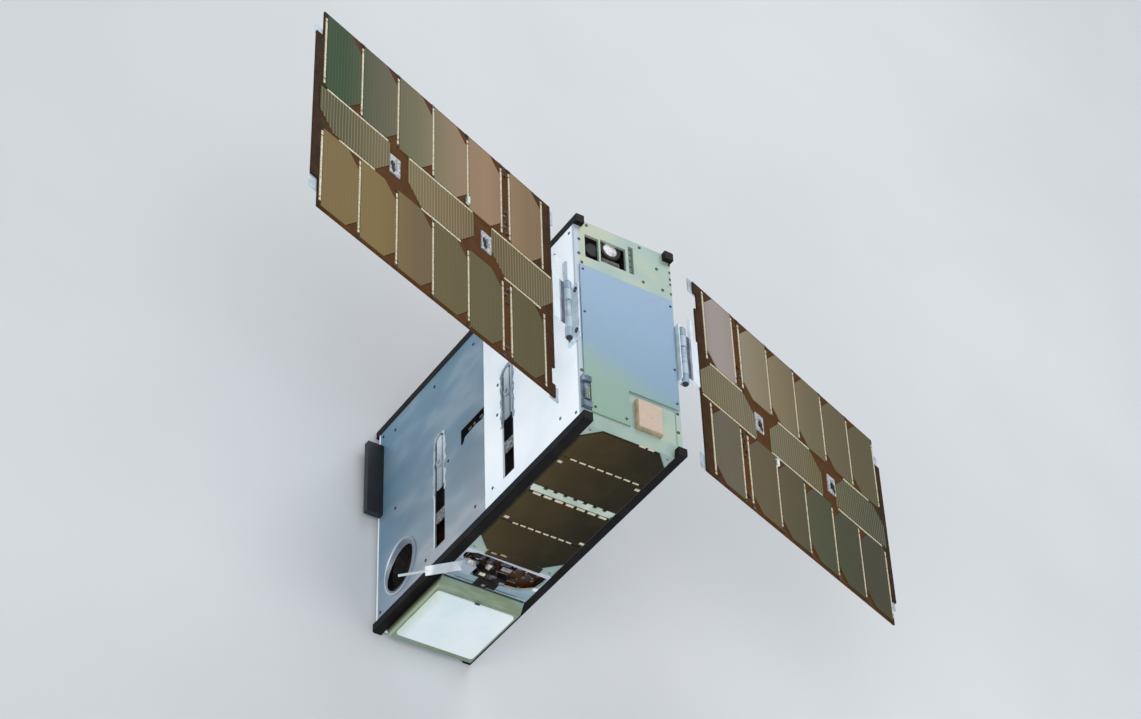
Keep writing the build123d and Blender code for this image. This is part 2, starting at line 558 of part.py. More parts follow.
BORE = PIN_RADIUS + PIN_CLEARANCE
low, high = HINGE_CENTRE - HINGE_HALF, HINGE_CENTRE + HINGE_HALF
FIXED_KNUCKLES = ((low, low + 9.0), (high - 8.0, high))
MOVING_KNUCKLES = ((low + 9.0 + KNUCKLE_GAP, low + 21.0), (high - 20.0, high - 8.0 - KNUCKLE_GAP))
SPRING = (low + 21.0 + KNUCKLE_GAP, high - 20.0 - KNUCKLE_GAP)
PIN_HEAD = (2.6, 1.2)
COIL_PITCH = 6.0
COIL_DEEP = 0.7
pins, springs = [], []
for side, name in SIDES:
    at_axis = Pos(side * AXIS_X, 0, AXIS_Z)
    shape = side_block(side, SIDE_OUTER, SIDE_OUTER + BRACKET_THICK, low, high, from_front(BRACKET_DEEP),
                       FRONT_INNER)
    shape += side_block(side, HALF_W + 0.1, SIDE_OUTER + BRACKET_THICK, low, high, FRONT_INNER, BODY_LENGTH)
    for y0, y1 in FIXED_KNUCKLES:
        shape += at_axis * barrel(y0, y1, KNUCKLE_RADIUS)
        shape += side_block(side, SIDE_OUTER + BRACKET_THICK / 2, AXIS_X, y0, y1, AXIS_Z - KNUCKLE_RADIUS,
                            AXIS_Z)
    shape -= at_axis * barrel(low - 1, high + 1, BORE)
    parts[f"hinge_bracket_{name}"] = shape
    pin = barrel(low, high, PIN_RADIUS)
    pin += barrel(low - PIN_HEAD[1], low, PIN_HEAD[0]) + barrel(high, high + PIN_HEAD[1], PIN_HEAD[0])
    pins.append(at_axis * pin)
    ridges = []
    count = int((SPRING[1] - SPRING[0]) / COIL_PITCH)
    coil = [(BORE, SPRING[0])]
    for k in range(count):
        y = SPRING[0] + k * COIL_PITCH
        coil += [(KNUCKLE_RADIUS - COIL_DEEP, y), (KNUCKLE_RADIUS - 0.1, y + COIL_PITCH * 0.3),
                 (KNUCKLE_RADIUS - 0.1, y + COIL_PITCH * 0.7)]
    coil += [(KNUCKLE_RADIUS - COIL_DEEP, SPRING[0] + count * COIL_PITCH),
             (BORE, SPRING[0] + count * COIL_PITCH)]
    spring = revolve(make_face(Polyline(*coil, close=True)), axis=Axis.Y)
    springs.append(at_axis * spring + side_block(side, SIDE_OUTER + BRACKET_THICK, AXIS_X - 2.0, SPRING[0],
                                                 SPRING[0] + 1.4,
                                                 AXIS_Z - 2.9, AXIS_Z - 1.5))
    t = BOARD_THICK / 2
    leaf = span(side, 2.5, BOARD_ROOT + 20.0, low + 9.0 + KNUCKLE_GAP, high - 8.0 - KNUCKLE_GAP,
                -t - LEAF_THICK, -t)
    leaf -= span(side, 0, 7.0, SPRING[0] - KNUCKLE_GAP, SPRING[1] + KNUCKLE_GAP, -t - LEAF_THICK - 1, t + 1)
    leaf += span(side, BOARD_ROOT - 10.0, BOARD_ROOT - 0.6, low + 10.0, high, -t, t)
    leaf += span(side, BOARD_ROOT - 10.0, BOARD_ROOT - 0.6, high - 10.0, high, -t - LEAF_THICK, t)
    leaf += span(side, BOARD_ROOT - 10.0, BOARD_ROOT - 6.5, high, high + 21.0, -t - LEAF_THICK, t)
    for y0, y1 in MOVING_KNUCKLES:
        leaf += barrel(y0, y1, KNUCKLE_RADIUS)
    leaf -= barrel(low - 1, high + 1, BORE)
    parts[f"hinge_leaf_{name}"] = wing_place(side, leaf)
parts["hinge_pins"] = Compound(pins)
parts["hinge_springs"] = Compound(springs)


# Wings: the right one is the left one turned end for end, so its up and down change places
ROOT_TABS = ((88.0, 103.0), (-106.4, -92.0))
TIP_TABS = ((76.0, 85.0), (-89.0, -75.5))
ROOT_NOTCH = (-92.0, -74.0, 4.0)
TAB_THICK = 1.2
CONNECTOR_PLACE = (132.2, 30.0)


def wing_span(side, u0, u1, v0, v1, w0, w1):
    """A box on one wing, v counted up on the left wing and down on the right one."""
    y0, y1 = sorted((WING_MIDDLE - side * v0, WING_MIDDLE - side * v1))
    return span(side, u0, u1, y0, y1, w0, w1)


def wing_outline(side, points, w0, w1):
    """A flat outline on one wing, raised from w0 to w1."""
    return upright_plate([(side * u, WING_MIDDLE - side * v) for u, v in points], w0, w1)


def board(side):
    """The wing's board with its tip strip, root notch and two hold-down holes."""
    t = BOARD_THICK / 2
    shape = wing_span(side, BOARD_ROOT, BOARD_END, -BOARD_HALF, BOARD_HALF, -t, t)
    shape += wing_span(side, BOARD_END, BOARD_END + TIP_STRIP, -TIP_STRIP_HALF, TIP_STRIP_HALF, -t, t)
    shape -= wing_span(side, BOARD_ROOT - 1, BOARD_ROOT + ROOT_NOTCH[2], ROOT_NOTCH[0], ROOT_NOTCH[1],
                       -t - 1, t + 1)
    w, h = BUSHING_HOLE
    for place in HOLD_DOWNS:
        shape -= wing_span(side, place - w / 2, place + w / 2, -h / 2, h / 2, -t - 1, t + 1)
    return shape


def bushing(side, place):
    """A light bushing through the board, with a flange on the cells' side and a slot."""
    t = BOARD_THICK / 2
    shape = wing_span(side, place - BUSHING[0] / 2, place + BUSHING[0] / 2, -BUSHING[1] / 2, BUSHING[1] / 2,
                      t, t + BUSHING[2])
    shape += wing_span(side, place - BUSHING_HOLE[0] / 2, place + BUSHING_HOLE[0] / 2, -BUSHING_HOLE[1] / 2,
                       BUSHING_HOLE[1] / 2, -t - 0.6, t)
    return shape - wing_span(side, place - BUSHING_SLOT[0] / 2, place + BUSHING_SLOT[0] / 2,
                             -BUSHING_SLOT[1] / 2,
                             BUSHING_SLOT[1] / 2, -t - 2, t + 3)


ROW_START = CELL_WIDE / 2 + ROW_GAP
ROWS = (("upper", ROW_START), ("lower", -ROW_START - CELL_LONG))
half_bushing = BUSHING[0] / 2 + CELL_CLEAR
LYING = (HOLD_DOWNS[0] - half_bushing - CELL_LONG, (HOLD_DOWNS[0] + HOLD_DOWNS[1] - CELL_LONG) / 2,
         HOLD_DOWNS[1] + half_bushing)
for side, name in SIDES:
    t = BOARD_THICK / 2
    parts[f"wing_board_{name}"] = wing_place(side, board(side))
    for row, v in ROWS:
        cells = []
        for u in COLUMNS:
            outline = cropped(u, u + CELL_WIDE, v, v + CELL_LONG, low_left=CELL_CROP, high_left=CELL_CROP)
            cells.append(wing_place(side, wing_outline(side, outline, t, t + CELL_THICK)))
        level = row if side < 0 else {"upper": "lower", "lower": "upper"}[row]
        parts[f"wing_cells_{level}_{name}"] = Compound(cells)
    cells = []
    for u in LYING:
        outline = cropped(u, u + CELL_LONG, -CELL_WIDE / 2, CELL_WIDE / 2, low_left=LYING_CROP,
                          low_right=LYING_CROP)
        cells.append(wing_place(side, wing_outline(side, outline, t, t + CELL_THICK)))
    parts[f"wing_cells_middle_{name}"] = Compound(cells)
    parts[f"wing_bushings_{name}"] = Compound([wing_place(side, bushing(side, place))
                                               for place in HOLD_DOWNS])
    tabs = [wing_span(side, BOARD_ROOT - 5.5, BOARD_ROOT + 5.0, v0, v1, -t - TAB_THICK, -t)
            for v0, v1 in ROOT_TABS]
    tabs += [wing_span(side, BOARD_END - 4.0, BOARD_END + TIP_STRIP, v0, v1, -t - TAB_THICK, -t)
             for v0, v1 in TIP_TABS]
    parts[f"wing_tabs_{name}"] = Compound([wing_place(side, tab) for tab in tabs])
    u, v = CONNECTOR_PLACE
    parts[f"wing_connector_{name}"] = wing_place(side, wing_span(side, u - 1.4, u + 1.4, v - 4.0, v + 3.0,
                                                                 t, t + 2.4))

# The body's Y centre stands off the origin, because the tape reaches far past one face only
drop = math.radians(TAPE_DROP)
reach = TAPE_BLADE + TAPE_WHIP - TAPE_OVERLAP
tape_tip = -FLAT_OUTER - TAPE_RISE - reach * math.sin(drop) - WHIP_RADIUS * math.cos(drop)
SHIFT_Y = -(HALF_H + tape_tip) / 2

for name, shape in parts.items():
    export_step(Pos(0, SHIFT_Y, 0) * shape, f"parts/{name}.step")
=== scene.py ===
import bmesh
import bpy
import math
from mathutils import Matrix, Vector
from types import SimpleNamespace


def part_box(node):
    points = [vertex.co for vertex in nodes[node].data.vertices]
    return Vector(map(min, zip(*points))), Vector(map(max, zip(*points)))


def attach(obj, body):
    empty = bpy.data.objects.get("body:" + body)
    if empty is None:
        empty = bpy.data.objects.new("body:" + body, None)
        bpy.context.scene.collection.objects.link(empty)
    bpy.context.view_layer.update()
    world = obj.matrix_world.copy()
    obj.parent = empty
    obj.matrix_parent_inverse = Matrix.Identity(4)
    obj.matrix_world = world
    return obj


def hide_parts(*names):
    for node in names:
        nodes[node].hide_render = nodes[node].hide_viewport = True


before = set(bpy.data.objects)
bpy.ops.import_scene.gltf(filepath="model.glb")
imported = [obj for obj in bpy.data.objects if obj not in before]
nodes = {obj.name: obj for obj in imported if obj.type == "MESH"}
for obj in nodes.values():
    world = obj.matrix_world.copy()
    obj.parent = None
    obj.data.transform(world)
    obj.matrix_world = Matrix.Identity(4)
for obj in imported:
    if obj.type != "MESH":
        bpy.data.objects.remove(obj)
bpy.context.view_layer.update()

# Places: x across from the left face, h up from the lower face, d back from the rails' front ends, all in mm
WIDTH, HEIGHT, LENGTH = 100.0, 226.3, 340.5
MIDDLE_X = WIDTH / 2
rail_low, rail_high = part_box("rails")
MIDDLE_Y = (rail_low.y + rail_high.y) / 2
SIDE_FACE = 49.5
SIDES = ((-1, "left"), (1, "right"))

# The wings: their hinge axes, out from the body's middle and back from the front, and the boards' turn
AXIS_OUT, AXIS_BACK = 57.5, 5.8
WING_TURN = math.radians(19.6)
WING_MIDDLE = -1.2
BOARD_TOP = 0.8
COLUMN_PITCH = 43.1
HOLD_DOWN_PLACES = (111, 223.5)


def at(x, h, d):
    """A place on the body, in metres."""
    return Vector(((x - MIDDLE_X) / 1000, (h - HEIGHT / 2) / 1000 + MIDDLE_Y, (LENGTH - d) / 1000))


def on_wing(side, u, v, w):
    """A place on a wing, in metres: u out from the hinge, v across, w off the board's middle."""
    x, y = side * u, WING_MIDDLE - side * v
    c, s = math.cos(WING_TURN), math.sin(WING_TURN)
    return Vector(((side * AXIS_OUT + x * c + w * s) / 1000, y / 1000 + MIDDLE_Y,
                   (LENGTH - AXIS_BACK - x * s + w * c) / 1000))


def side_span(side, start, end):
    """Two places across the body, counted outwards from the face of one side."""
    return MIDDLE_X + side * (SIDE_FACE + start), MIDDLE_X + side * (SIDE_FACE + end)


def new_object(name, data):
    """Adds an object to the scene."""
    thing = bpy.data.objects.new(name, data)
    bpy.context.collection.objects.link(thing)
    return thing


# Camera and lamps
def look(name, data, place, target, up_hint=Vector((0, 0, 1))):
    """An object at a place, its -Z towards the target."""
    thing = new_object(name, data)
    back = (place - target).normalized()
    side = up_hint.cross(back).normalized()
    up = back.cross(side)
    thing.matrix_world = Matrix.Translation(place) @ Matrix((side, up, back)).transposed().to_4x4()
    return thing


# The camera was fitted with the body's middle at this y, so it moves with the body
FITTED_MIDDLE_Y = 0.023156
eye = Vector((-1.01927, -1.51338 + MIDDLE_Y - FITTED_MIDDLE_Y, 1.75414))
ahead = Vector((0.42404, 0.65480, -0.62563))
lens = bpy.data.cameras.new("camera")
lens.lens = 88.32
lens.sensor_width = 36.0
lens.clip_start = 0.05
bpy.context.scene.camera = look("camera", lens, eye, eye + ahead, Vector((-0.33451, 0.75521, 0.56370)))

LAMPS = (("key", (-1.3, -1.5, 2.2), 36.0, 1.6), ("fill", (1.6, -1.0, 1.4), 12.0, 1.8),
         ("back", (0.6, 1.8, 1.9), 22.0, 1.4), ("low", (-1.6, -0.2, 0.5), 11.0, 1.2))
LAMP_TARGET = Vector((0, 0, 0.25))
lamps = {}
for name, place, power, size in LAMPS:
    light = bpy.data.lights.new(name, "AREA")
    light.energy = power
    light.size = size
    lamps[name] = look(name, light, Vector(place), LAMP_TARGET)
    lamps[name].visible_camera = False


def linear(code):
    """An sRGB hex colour as linear numbers."""
    values = [int(code[i:i + 2], 16) / 255 for i in (1, 3, 5)]
    return tuple(v / 12.92 if v <= 0.04045 else ((v + 0.055) / 1.055) ** 2.4 for v in values) + (1.0,)


def wire(node, **links):
    """Sets or links inputs: numbers, hex colours, sockets, or nodes, whose first live output is taken."""
    for key, value in links.items():
        numbered = key[0] == "n" and key[1:].isdigit()
        socket = node.inputs[int(key[1:])] if numbered else node.inputs[key.replace("_", " ")]
        if isinstance(value, bpy.types.Node):
            value = next(out for out in value.outputs if out.enabled)
        if isinstance(value, bpy.types.NodeSocket):
            node.id_data.links.new(value, socket)
        elif isinstance(value, str) and value.startswith("#"):
            socket.default_value = linear(value)
        else:
            socket.default_value = value


def add(tree, kind, settings=None, stops=(), **links):
    """Adds a node with its settings, colour stops and links."""
    node = tree.nodes.new(kind)
    for key, value in (settings or {}).items():
        setattr(node, key, value)
    for k, (place, code) in enumerate(stops):
        bar = node.color_ramp.elements
        stop = bar[k] if k < 2 else bar.new(place)
        stop.position, stop.color = place, linear(code)
    wire(node, **links)
    return node


# The studio's even light
world = bpy.data.worlds.new("studio")
world.use_nodes = True
wire(world.node_tree.nodes["Background"], Color="#e9eef4", Strength=0.5)
bpy.context.scene.world = world
bpy.context.scene.view_settings.view_transform = "Standard"

CLOUD_STOPS = (0.34, 0.5, 0.66)


def finish(name, tones, rough, metal=0.0, cloud=20.0, grain=0.8, lie=(1, 1, 1), depth=0.02, relief=0.3,
           **extra):
    """A surface whose colour drifts through three tones in clouds, with a fine grain in its gloss and relief.

    Cloud, grain and depth are in mm; lie draws the grain out along an axis.
    """
    made = bpy.data.materials.new(name)
    made.use_nodes = True
    tree = made.node_tree
    shader = tree.nodes["Principled BSDF"]
    wire(shader, Metallic=metal, Roughness=rough[0], **extra)
    place = add(tree, "ShaderNodeTexCoord").outputs["Object"]
    place = add(tree, "ShaderNodeVectorMath", {"operation": "SCALE"}, Vector=place, Scale=1000.0)
    clouds = add(tree, "ShaderNodeTexNoise", Vector=place, Scale=1 / cloud, Detail=3.0)
    tone = add(tree, "ShaderNodeValToRGB", stops=list(zip(CLOUD_STOPS, tones)), Fac=clouds)
    drawn = add(tree, "ShaderNodeMapping", Vector=place, Scale=tuple(1 / (grain * k) for k in lie))
    fine = add(tree, "ShaderNodeTexNoise", Vector=drawn, Scale=1.0, Detail=2.0)
    spread = add(tree, "ShaderNodeMapRange", Value=fine, To_Min=rough[0], To_Max=rough[1])
    bumps = add(tree, "ShaderNodeBump", Height=fine, Strength=relief, Distance=depth / 1000)
    wire(shader, Base_Color=tone, Roughness=spread, Normal=bumps)
    made.diffuse_color = linear(tones[1])
    return SimpleNamespace(made=made, tree=tree, shader=shader, place=place, tone=tone)


def level(surface, axis, start, end, first=0.0, last=1.0, mirrored=False):
    """A number that runs from first to last between two places on an axis; mirrored, on both sides alike."""
    tree = surface.tree
    along = add(tree, "ShaderNodeSeparateXYZ", Vector=surface.place).outputs[axis]
    if mirrored:
        along = add(tree, "ShaderNodeMath", {"operation": "ABSOLUTE"}, n0=along)
    return add(tree, "ShaderNodeMapRange", Value=along, From_Min=start, From_Max=end, To_Min=first,
               To_Max=last)


def coat(surface, share, colour):
    """Lays a colour over a surface's own by a share."""
    mix = add(surface.tree, "ShaderNodeMix", {"data_type": "RGBA"}, n0=share, n6=surface.tone, n7=colour)
    surface.tone = mix
    wire(surface.shader, Base_Color=mix)


def drift(surface, share, axis, start, end, *stops, mirrored=False):
    """Lets a surface's colour run through stops between two places on an axis."""
    place = level(surface, axis, start, end, mirrored=mirrored)
    coat(surface, share, add(surface.tree, "ShaderNodeValToRGB", stops=stops, Fac=place))


def stripes(tree, along, pitch, width, share):
    """A share that is laid in stripes of a width, one at every pitch along a way, in mm."""
    off = add(tree, "ShaderNodeMath", {"operation": "PINGPONG"}, n0=along, n1=pitch / 2)
    inside = add(tree, "ShaderNodeMath", {"operation": "LESS_THAN"}, n0=off, n1=width / 2)
    return add(tree, "ShaderNodeMath", {"operation": "MULTIPLY"}, n0=inside, n1=share)


# Extruded aluminium, hard anodised: near black and satin, with fine streaks along the rail
rail_black = finish(
    "hard_anodised_aluminium", ("#070607", "#0c0b0c", "#151416"), (0.42, 0.6), 0, 22, 0.9, (1, 1, 40),
    Specular_IOR_Level=0.12)

# Sprayed thermal paint: white and matt, with a faint orange peel and a cool tone
white_paint = finish(
    "white_thermal_paint", ("#dfe9f1", "#e9f1f7", "#f1f6f9"), (0.45, 0.6), 0, 60, 0.8, depth=0.03)

# Milled aluminium, wiped: grey blue and satin, in broad slanting clouds, bluer at the rear, and paler and
# warmer below from a painted reflection
grey_plate = finish(
    "satin_milled_aluminium", ("#6d8396", "#7d92a3", "#95a4b0"), (0.4, 0.55), 0.35, 45, 0.5,
    (1, 30, 1), 0.012, 0.2)
tree = grey_plate.tree
wipes = add(tree, "ShaderNodeMapping", Vector=grey_plate.place, Rotation=(math.radians(-38), 0, 0),
            Scale=(0.03, 0.03, 0.014))
wipes = add(tree, "ShaderNodeTexNoise", Vector=wipes, Scale=1.0, Detail=1.5)
grey_plate.tone = add(tree, "ShaderNodeValToRGB", Fac=wipes, stops=(
    (0.34, "#5f7686"), (0.5, "#708b9b"), (0.62, "#9aa5af"), (0.74, "#6f8b9e")))
# Painted reflection: the plate runs paler and warmer towards its lower edge
drift(grey_plate, 0.45, "Y", -95.0, 110.0,
      (0, "#c0bcbd"), (0.3, "#98a3ad"), (0.5, "#7b8d9b"), (0.7, "#6f90a3"), (1, "#6f98b0"))
coat(grey_plate, level(grey_plate, "Z", 75.0, 15.0, 0.0, 0.5), "#5c86a2")

# Chromate conversion coat on aluminium: pale green, faintly golden where it lies thicker
chromate = finish(
    "chromate_conversion_aluminium", ("#94aaa6", "#a2b6af", "#b3bda6"), (0.4, 0.55), 0.2, 34, 0.6,
    (14, 1, 1), 0.01, 0.2)

# The same coat on the front panel: a little greyer, with a pale line down its left edge
pale_chromate = finish(
    "pale_chromate_front", ("#90a69d", "#9bafa5", "#aab59f"), (0.42, 0.56), 0.15, 40, 0.6,
    (14, 1, 1), 0.01, 0.2)
coat(pale_chromate, level(pale_chromate, "X", -45.4, -44.4, 0.8, 0.0), "#b0bcca")

# The same coat, thick, on the antenna's base: olive streaks, and on its left wall a painted shadow of the
# rail that deepens towards the body
base_chromate = finish(
    "thick_chromate_base", ("#6f8580", "#7a9085", "#84957f"), (0.42, 0.56), 0.1, 22, 0.6,
    (14, 1, 1), 0.01, 0.2)
drift(base_chromate, 0.65, "Y", -102.3, -93.3, (0, "#8fa08c"), (0.45, "#84957d"), (1, "#73908a"))
tree = base_chromate.tree
streaks = add(tree, "ShaderNodeMapping", Vector=base_chromate.place, Scale=(0.05, 0.16, 0.16))
streaks = add(tree, "ShaderNodeTexNoise", Vector=streaks, Scale=1.0, Detail=2.0)
streaks = add(tree, "ShaderNodeMapRange", Value=streaks, From_Min=0.4, From_Max=0.66, To_Max=0.6)
coat(base_chromate, streaks, "#6c7650")
# Painted shadow of the rail on the left wall: black beside the body, fading outwards
rail_shadow_ramp = add(tree, "ShaderNodeValToRGB", Fac=level(base_chromate, "Y", -102.3, -93.3), stops=(
    (0, "#aebfa6"), (0.35, "#7f8b6e"), (0.75, "#3c4031"), (1, "#1b1d17")))
coat(base_chromate, level(base_chromate, "X", -41.2, -40.0, 1.0, 0.0), rail_shadow_ramp)

# Polymer tape over the notched strip: pale green, dull
strip_tape = finish("pale_notched_tape", ("#a9bbae", "#b9c9bb", "#c8d4c6"), (0.45, 0.6), 0, 12, 0.6)

# Lacquer on the frame round the cut-out: blue grey at the rear, pale lilac towards the front
frame_metal = finish(
    "lacquered_cut_out_frame", ("#aab6c4", "#b9c4d0", "#c6ccd6"), (0.38, 0.52), 0.15, 12, 0.6)
drift(frame_metal, 0.8, "Z", 105.0, 147.0,
      (0, "#76929e"), (0.3, "#8ba6b0"), (0.85, "#a5afbd"), (0.95, "#ded2e4"))

# Second surface mirror tape, with faint seams: its sea green near the lower edge and lavender blue above are
# a painted reflection
mirror_tape = finish(
    "silvered_mirror_tape", ("#8ba6bf", "#93aec8", "#9cb5cf"), (0.3, 0.4), 0.1, 30, 6.0,
    depth=0.05, relief=0.04)
RISE_Y, RISE_X = 150.0, 420.0
SEAM_PITCH, SEAM_WIDTH = 25.0, 0.28
tree = mirror_tape.tree
split = add(tree, "ShaderNodeSeparateXYZ", Vector=mirror_tape.place)
rise = add(tree, "ShaderNodeMath", {"operation": "MULTIPLY_ADD"}, n0=split.outputs["Y"], n1=1 / RISE_Y,
           n2=-MIDDLE_Y * 1000 / RISE_Y)
rise = add(tree, "ShaderNodeMath", {"operation": "MULTIPLY_ADD"}, n0=split.outputs["X"], n1=1 / RISE_X,
           n2=rise)
rise = add(tree, "ShaderNodeMapRange", Value=rise, From_Min=-0.72, From_Max=0.52)
# Painted reflection in the mirror: sea green low down, lavender blue higher up
mirror_tape.tone = add(tree, "ShaderNodeValToRGB", Fac=rise, stops=(
    (0, "#6c8f7c"), (0.25, "#6e8f85"), (0.4, "#6789a1"), (0.7, "#6f8fab"), (1, "#7792ae")))
coat(mirror_tape, stripes(tree, split.outputs["X"], SEAM_PITCH, SEAM_WIDTH, 0.2), "#6d8699")

# Ceramic loaded patch laminate: peach and matt, with a soft speckle
patch_peach = finish("ceramic_patch_laminate", ("#b7a18f", "#bfab9a", "#c5b5a6"), (0.5, 0.6), 0, 0.9, 0.7)

# The same laminate where it is cut and bare: straw coloured, dull
patch_edge = finish("bare_laminate_edge", ("#8f8a68", "#a39775", "#b3a283"), (0.5, 0.6), 0, 5, 0.7)

# Epoxy glass board under solder mask: dark brown and satin, redder to the right
board_brown = finish(
    "epoxy_glass_board", ("#1c1307", "#2d200d", "#3e2d15"), (0.45, 0.6), 0, 6, 0.6, Specular_IOR_Level=0.15)
coat(board_brown, level(board_brown, "X", -5.0, 18.0, 0.0, 0.8), "#4f2c10")

# The boards under the body cells: the same, nearly black
cell_board = finish("dark_cell_board", ("#1b150e", "#251d12", "#30281b"), (0.4, 0.55), 0, 9, 0.6)

# Polyimide film over the wing board: amber brown, wrinkled a little, darker at the root and the tip
film_amber = finish(
    "polyimide_film", ("#28190b", "#3b2611", "#503418"), (0.45, 0.6), 0, 9, 3.0, (1, 3, 1), 0.08, 0.3,
    Specular_IOR_Level=0.1)
drift(film_amber, 0.65, "X", 80.0, 350.0,
      (0, "#351f06"), (0.14, "#5a360c"), (0.93, "#5a360c"), (0.985, "#2b1906"), mirrored=True)

# Cover glass on gallium arsenide cells: the tone drifts along the wing and from row to row
CELL_TONES = {
    "left": {
        "upper": ("#856e53", "#a08369", "#907e66", "#706c53", "#605e4c", "#364e36"),
        "middle": ("#675c44", "#67593f", "#7c694e", "#766c4e", "#70664d", "#575640"),
        "lower": ("#5a5339", "#635c41", "#675e40", "#6e5d42", "#816d43", "#7f6c46")},
    "right": {
        "upper": ("#9d938f", "#8e826a", "#807258", "#6c6349", "#655c45", "#5e5840"),
        "middle": ("#6e654f", "#706a57", "#69634e", "#5d563c", "#54533d", "#44483c"),
        "lower": ("#645d4e", "#635841", "#57513b", "#494b37", "#444632", "#444335")}}
CELL_STOPS = (0.125, 0.31, 0.459, 0.607, 0.756, 0.905)
CELLS_FROM, CELLS_TO = 20.0, 310.0
COLUMN_DARKENING = 0.14

# Grid fingers: real ones are 0.03 mm wide and 0.7 mm apart, and these are coarser so that they show
FINGER_PITCH, FINGER_WIDTH = 3.4, 0.9
FINGER_SHARES = {"upper": 0.06, "middle": 0.34, "lower": 0.06}


def wing_cell_glass(name, side, tones, finger_share):
    """A wing's cell glass in its own directions, with the grid fingers of each cell."""
    glass = finish(name, tones[1:4], (0.4, 0.5), 0, 34, 12.0, depth=0.1, relief=0.08,
                   Specular_IOR_Level=0.08)
    tree = glass.tree
    local = add(tree, "ShaderNodeMapping", {"vector_type": "TEXTURE"}, Vector=glass.place,
                Location=(side * AXIS_OUT, 0, LENGTH - AXIS_BACK), Rotation=(0, WING_TURN, 0))
    split = add(tree, "ShaderNodeSeparateXYZ", Vector=local)
    out = add(tree, "ShaderNodeMath", {"operation": "MULTIPLY"}, n0=split.outputs["X"], n1=float(side))
    along = add(tree, "ShaderNodeMapRange", Value=out, From_Min=CELLS_FROM, From_Max=CELLS_TO)
    glass.tone = add(tree, "ShaderNodeValToRGB", stops=list(zip(CELL_STOPS, tones)), Fac=along)
    column = add(tree, "ShaderNodeMath", {"operation": "DIVIDE"}, n0=out, n1=COLUMN_PITCH)
    column = add(tree, "ShaderNodeMath", {"operation": "FLOOR"}, n0=column)
    dice = add(tree, "ShaderNodeTexWhiteNoise", {"noise_dimensions": "1D"}, W=column).outputs["Value"]
    dice = add(tree, "ShaderNodeMath", {"operation": "MULTIPLY"}, n0=dice, n1=COLUMN_DARKENING)
    coat(glass, dice, "#3a3826")
    coat(glass, stripes(tree, out, FINGER_PITCH, FINGER_WIDTH, finger_share), "#b3a67e")
    return glass


# Cover glass on the body cells: dark olive brown, lying in shade, darker to the right
body_cell = finish(
    "body_cell_glass", ("#332b1c", "#3b3020", "#463b26"), (0.42, 0.55), 0, 26, 9.0, depth=0.1, relief=0.08,
    Specular_IOR_Level=0.06)
drift(body_cell, 0.6, "X", -42.0, 42.0,
      (0, "#4f4529"), (0.45, "#372e1d"), (0.8, "#181d12"), (1, "#0c120a"))

# Tinned copper ribbon: cream in this light, dull and creased
tinned = finish(
    "tinned_copper_ribbon", ("#b3a98a", "#d2c9ad", "#e4dcc6"), (0.4, 0.55), 0.2, 1.6, 1.2, depth=0.05,
    relief=0.4)

# Radome paint: white, smooth and matt, faintly green at its left edge
radome_white = finish("white_radome_paint", ("#e1eff4", "#eaf5f9", "#f1f9fb"), (0.42, 0.55), 0, 40, 0.9)
coat(radome_white, level(radome_white, "X", -39.0, -29.0, 0.55, 0.0), "#bfcca9")

# Clear anodised aluminium, bead blasted: pale blue grey
clear_metal = finish(
    "clear_anodised_aluminium", ("#a3b5c2", "#b5c5d0", "#c8d4dc"), (0.38, 0.52), 0.25, 8, 0.5, relief=0.25)

# Painted aluminium: white, faintly clouded and matt
white_metal = finish("white_painted_leaf", ("#d3dfe8", "#dee8ef", "#e9f0f4"), (0.42, 0.55), 0, 14)

# The hinge leaves: the same paint, with the knuckles greyer
leaf_metal = finish("white_leaf_with_greyer_knuckle", ("#d3dfe8", "#dee8ef", "#e9f0f4"), (0.42, 0.55), 0, 14)
coat(leaf_metal, level(leaf_metal, "X", 60.98, 61.02, 1.0, 0.0, mirrored=True), "#aec0cb")

# The hinge brackets: clear anodised and pale, with the knuckles darker
bracket_metal = finish(
    "clear_bracket_with_darker_knuckles", ("#bccdd8", "#cad9e3", "#d8e4eb"), (0.42, 0.55), 0.1, 8, 0.5)
coat(bracket_metal, level(bracket_metal, "X", 53.88, 53.92, mirrored=True), "#8ea4b3")

# Dyed anodised bars beside the hinges: one lilac, one dark blue grey, both satin
lilac_metal = finish("lilac_anodised_bar", ("#878da1", "#9398ab", "#a3a9b9"), (0.4, 0.5), 0.2, 8, 0.5)
blue_metal = finish("blue_grey_anodised_bar", ("#474f62", "#545c70", "#666e80"), (0.4, 0.5), 0.3, 8, 0.5)

# Moulded polymer parts in the recess: slate, mottled and matt
slate_parts = finish("slate_small_parts", ("#2c3b3a", "#45504f", "#5f5a6c"), (0.5, 0.6), 0, 4, 0.4)

# Milled titanium inside the slots: pale and satin, brighter towards the top
cheek_metal = finish("pale_satin_cheeks", ("#8b9caa", "#9dadba", "#b3c1cc"), (0.45, 0.6), 0, 16, relief=0.15)
drift(cheek_metal, 0.75, "Y", -12.0, 42.0,
      (0, "#6f7c82"), (0.3, "#87949c"), (0.7, "#97a4ad"), (1, "#c6d0d7"))

# Milled titanium, brighter and drawn along its cut: the rear slots' rims and the board's posts
bright_metal = finish(
    "bright_milled_titanium", ("#7f8c97", "#a3b0ba", "#c6d0d8"), (0.35, 0.5), 0.2, 7, 0.8, (1, 6, 1))

# Rolled spring strip round the front slots: slate and satin
slate_edge = finish("slate_spring_rim", ("#5f7280", "#7c909e", "#9cadb9"), (0.4, 0.55), 0.2, 4, 0.5)

# Cast alloy bridge in the slots: dark grey, mottled by its skin
bridge_alloy = finish("mottled_cast_alloy", ("#3f4244", "#5f6366", "#8d9194"), (0.45, 0.6), 0.15, 3, 0.5)

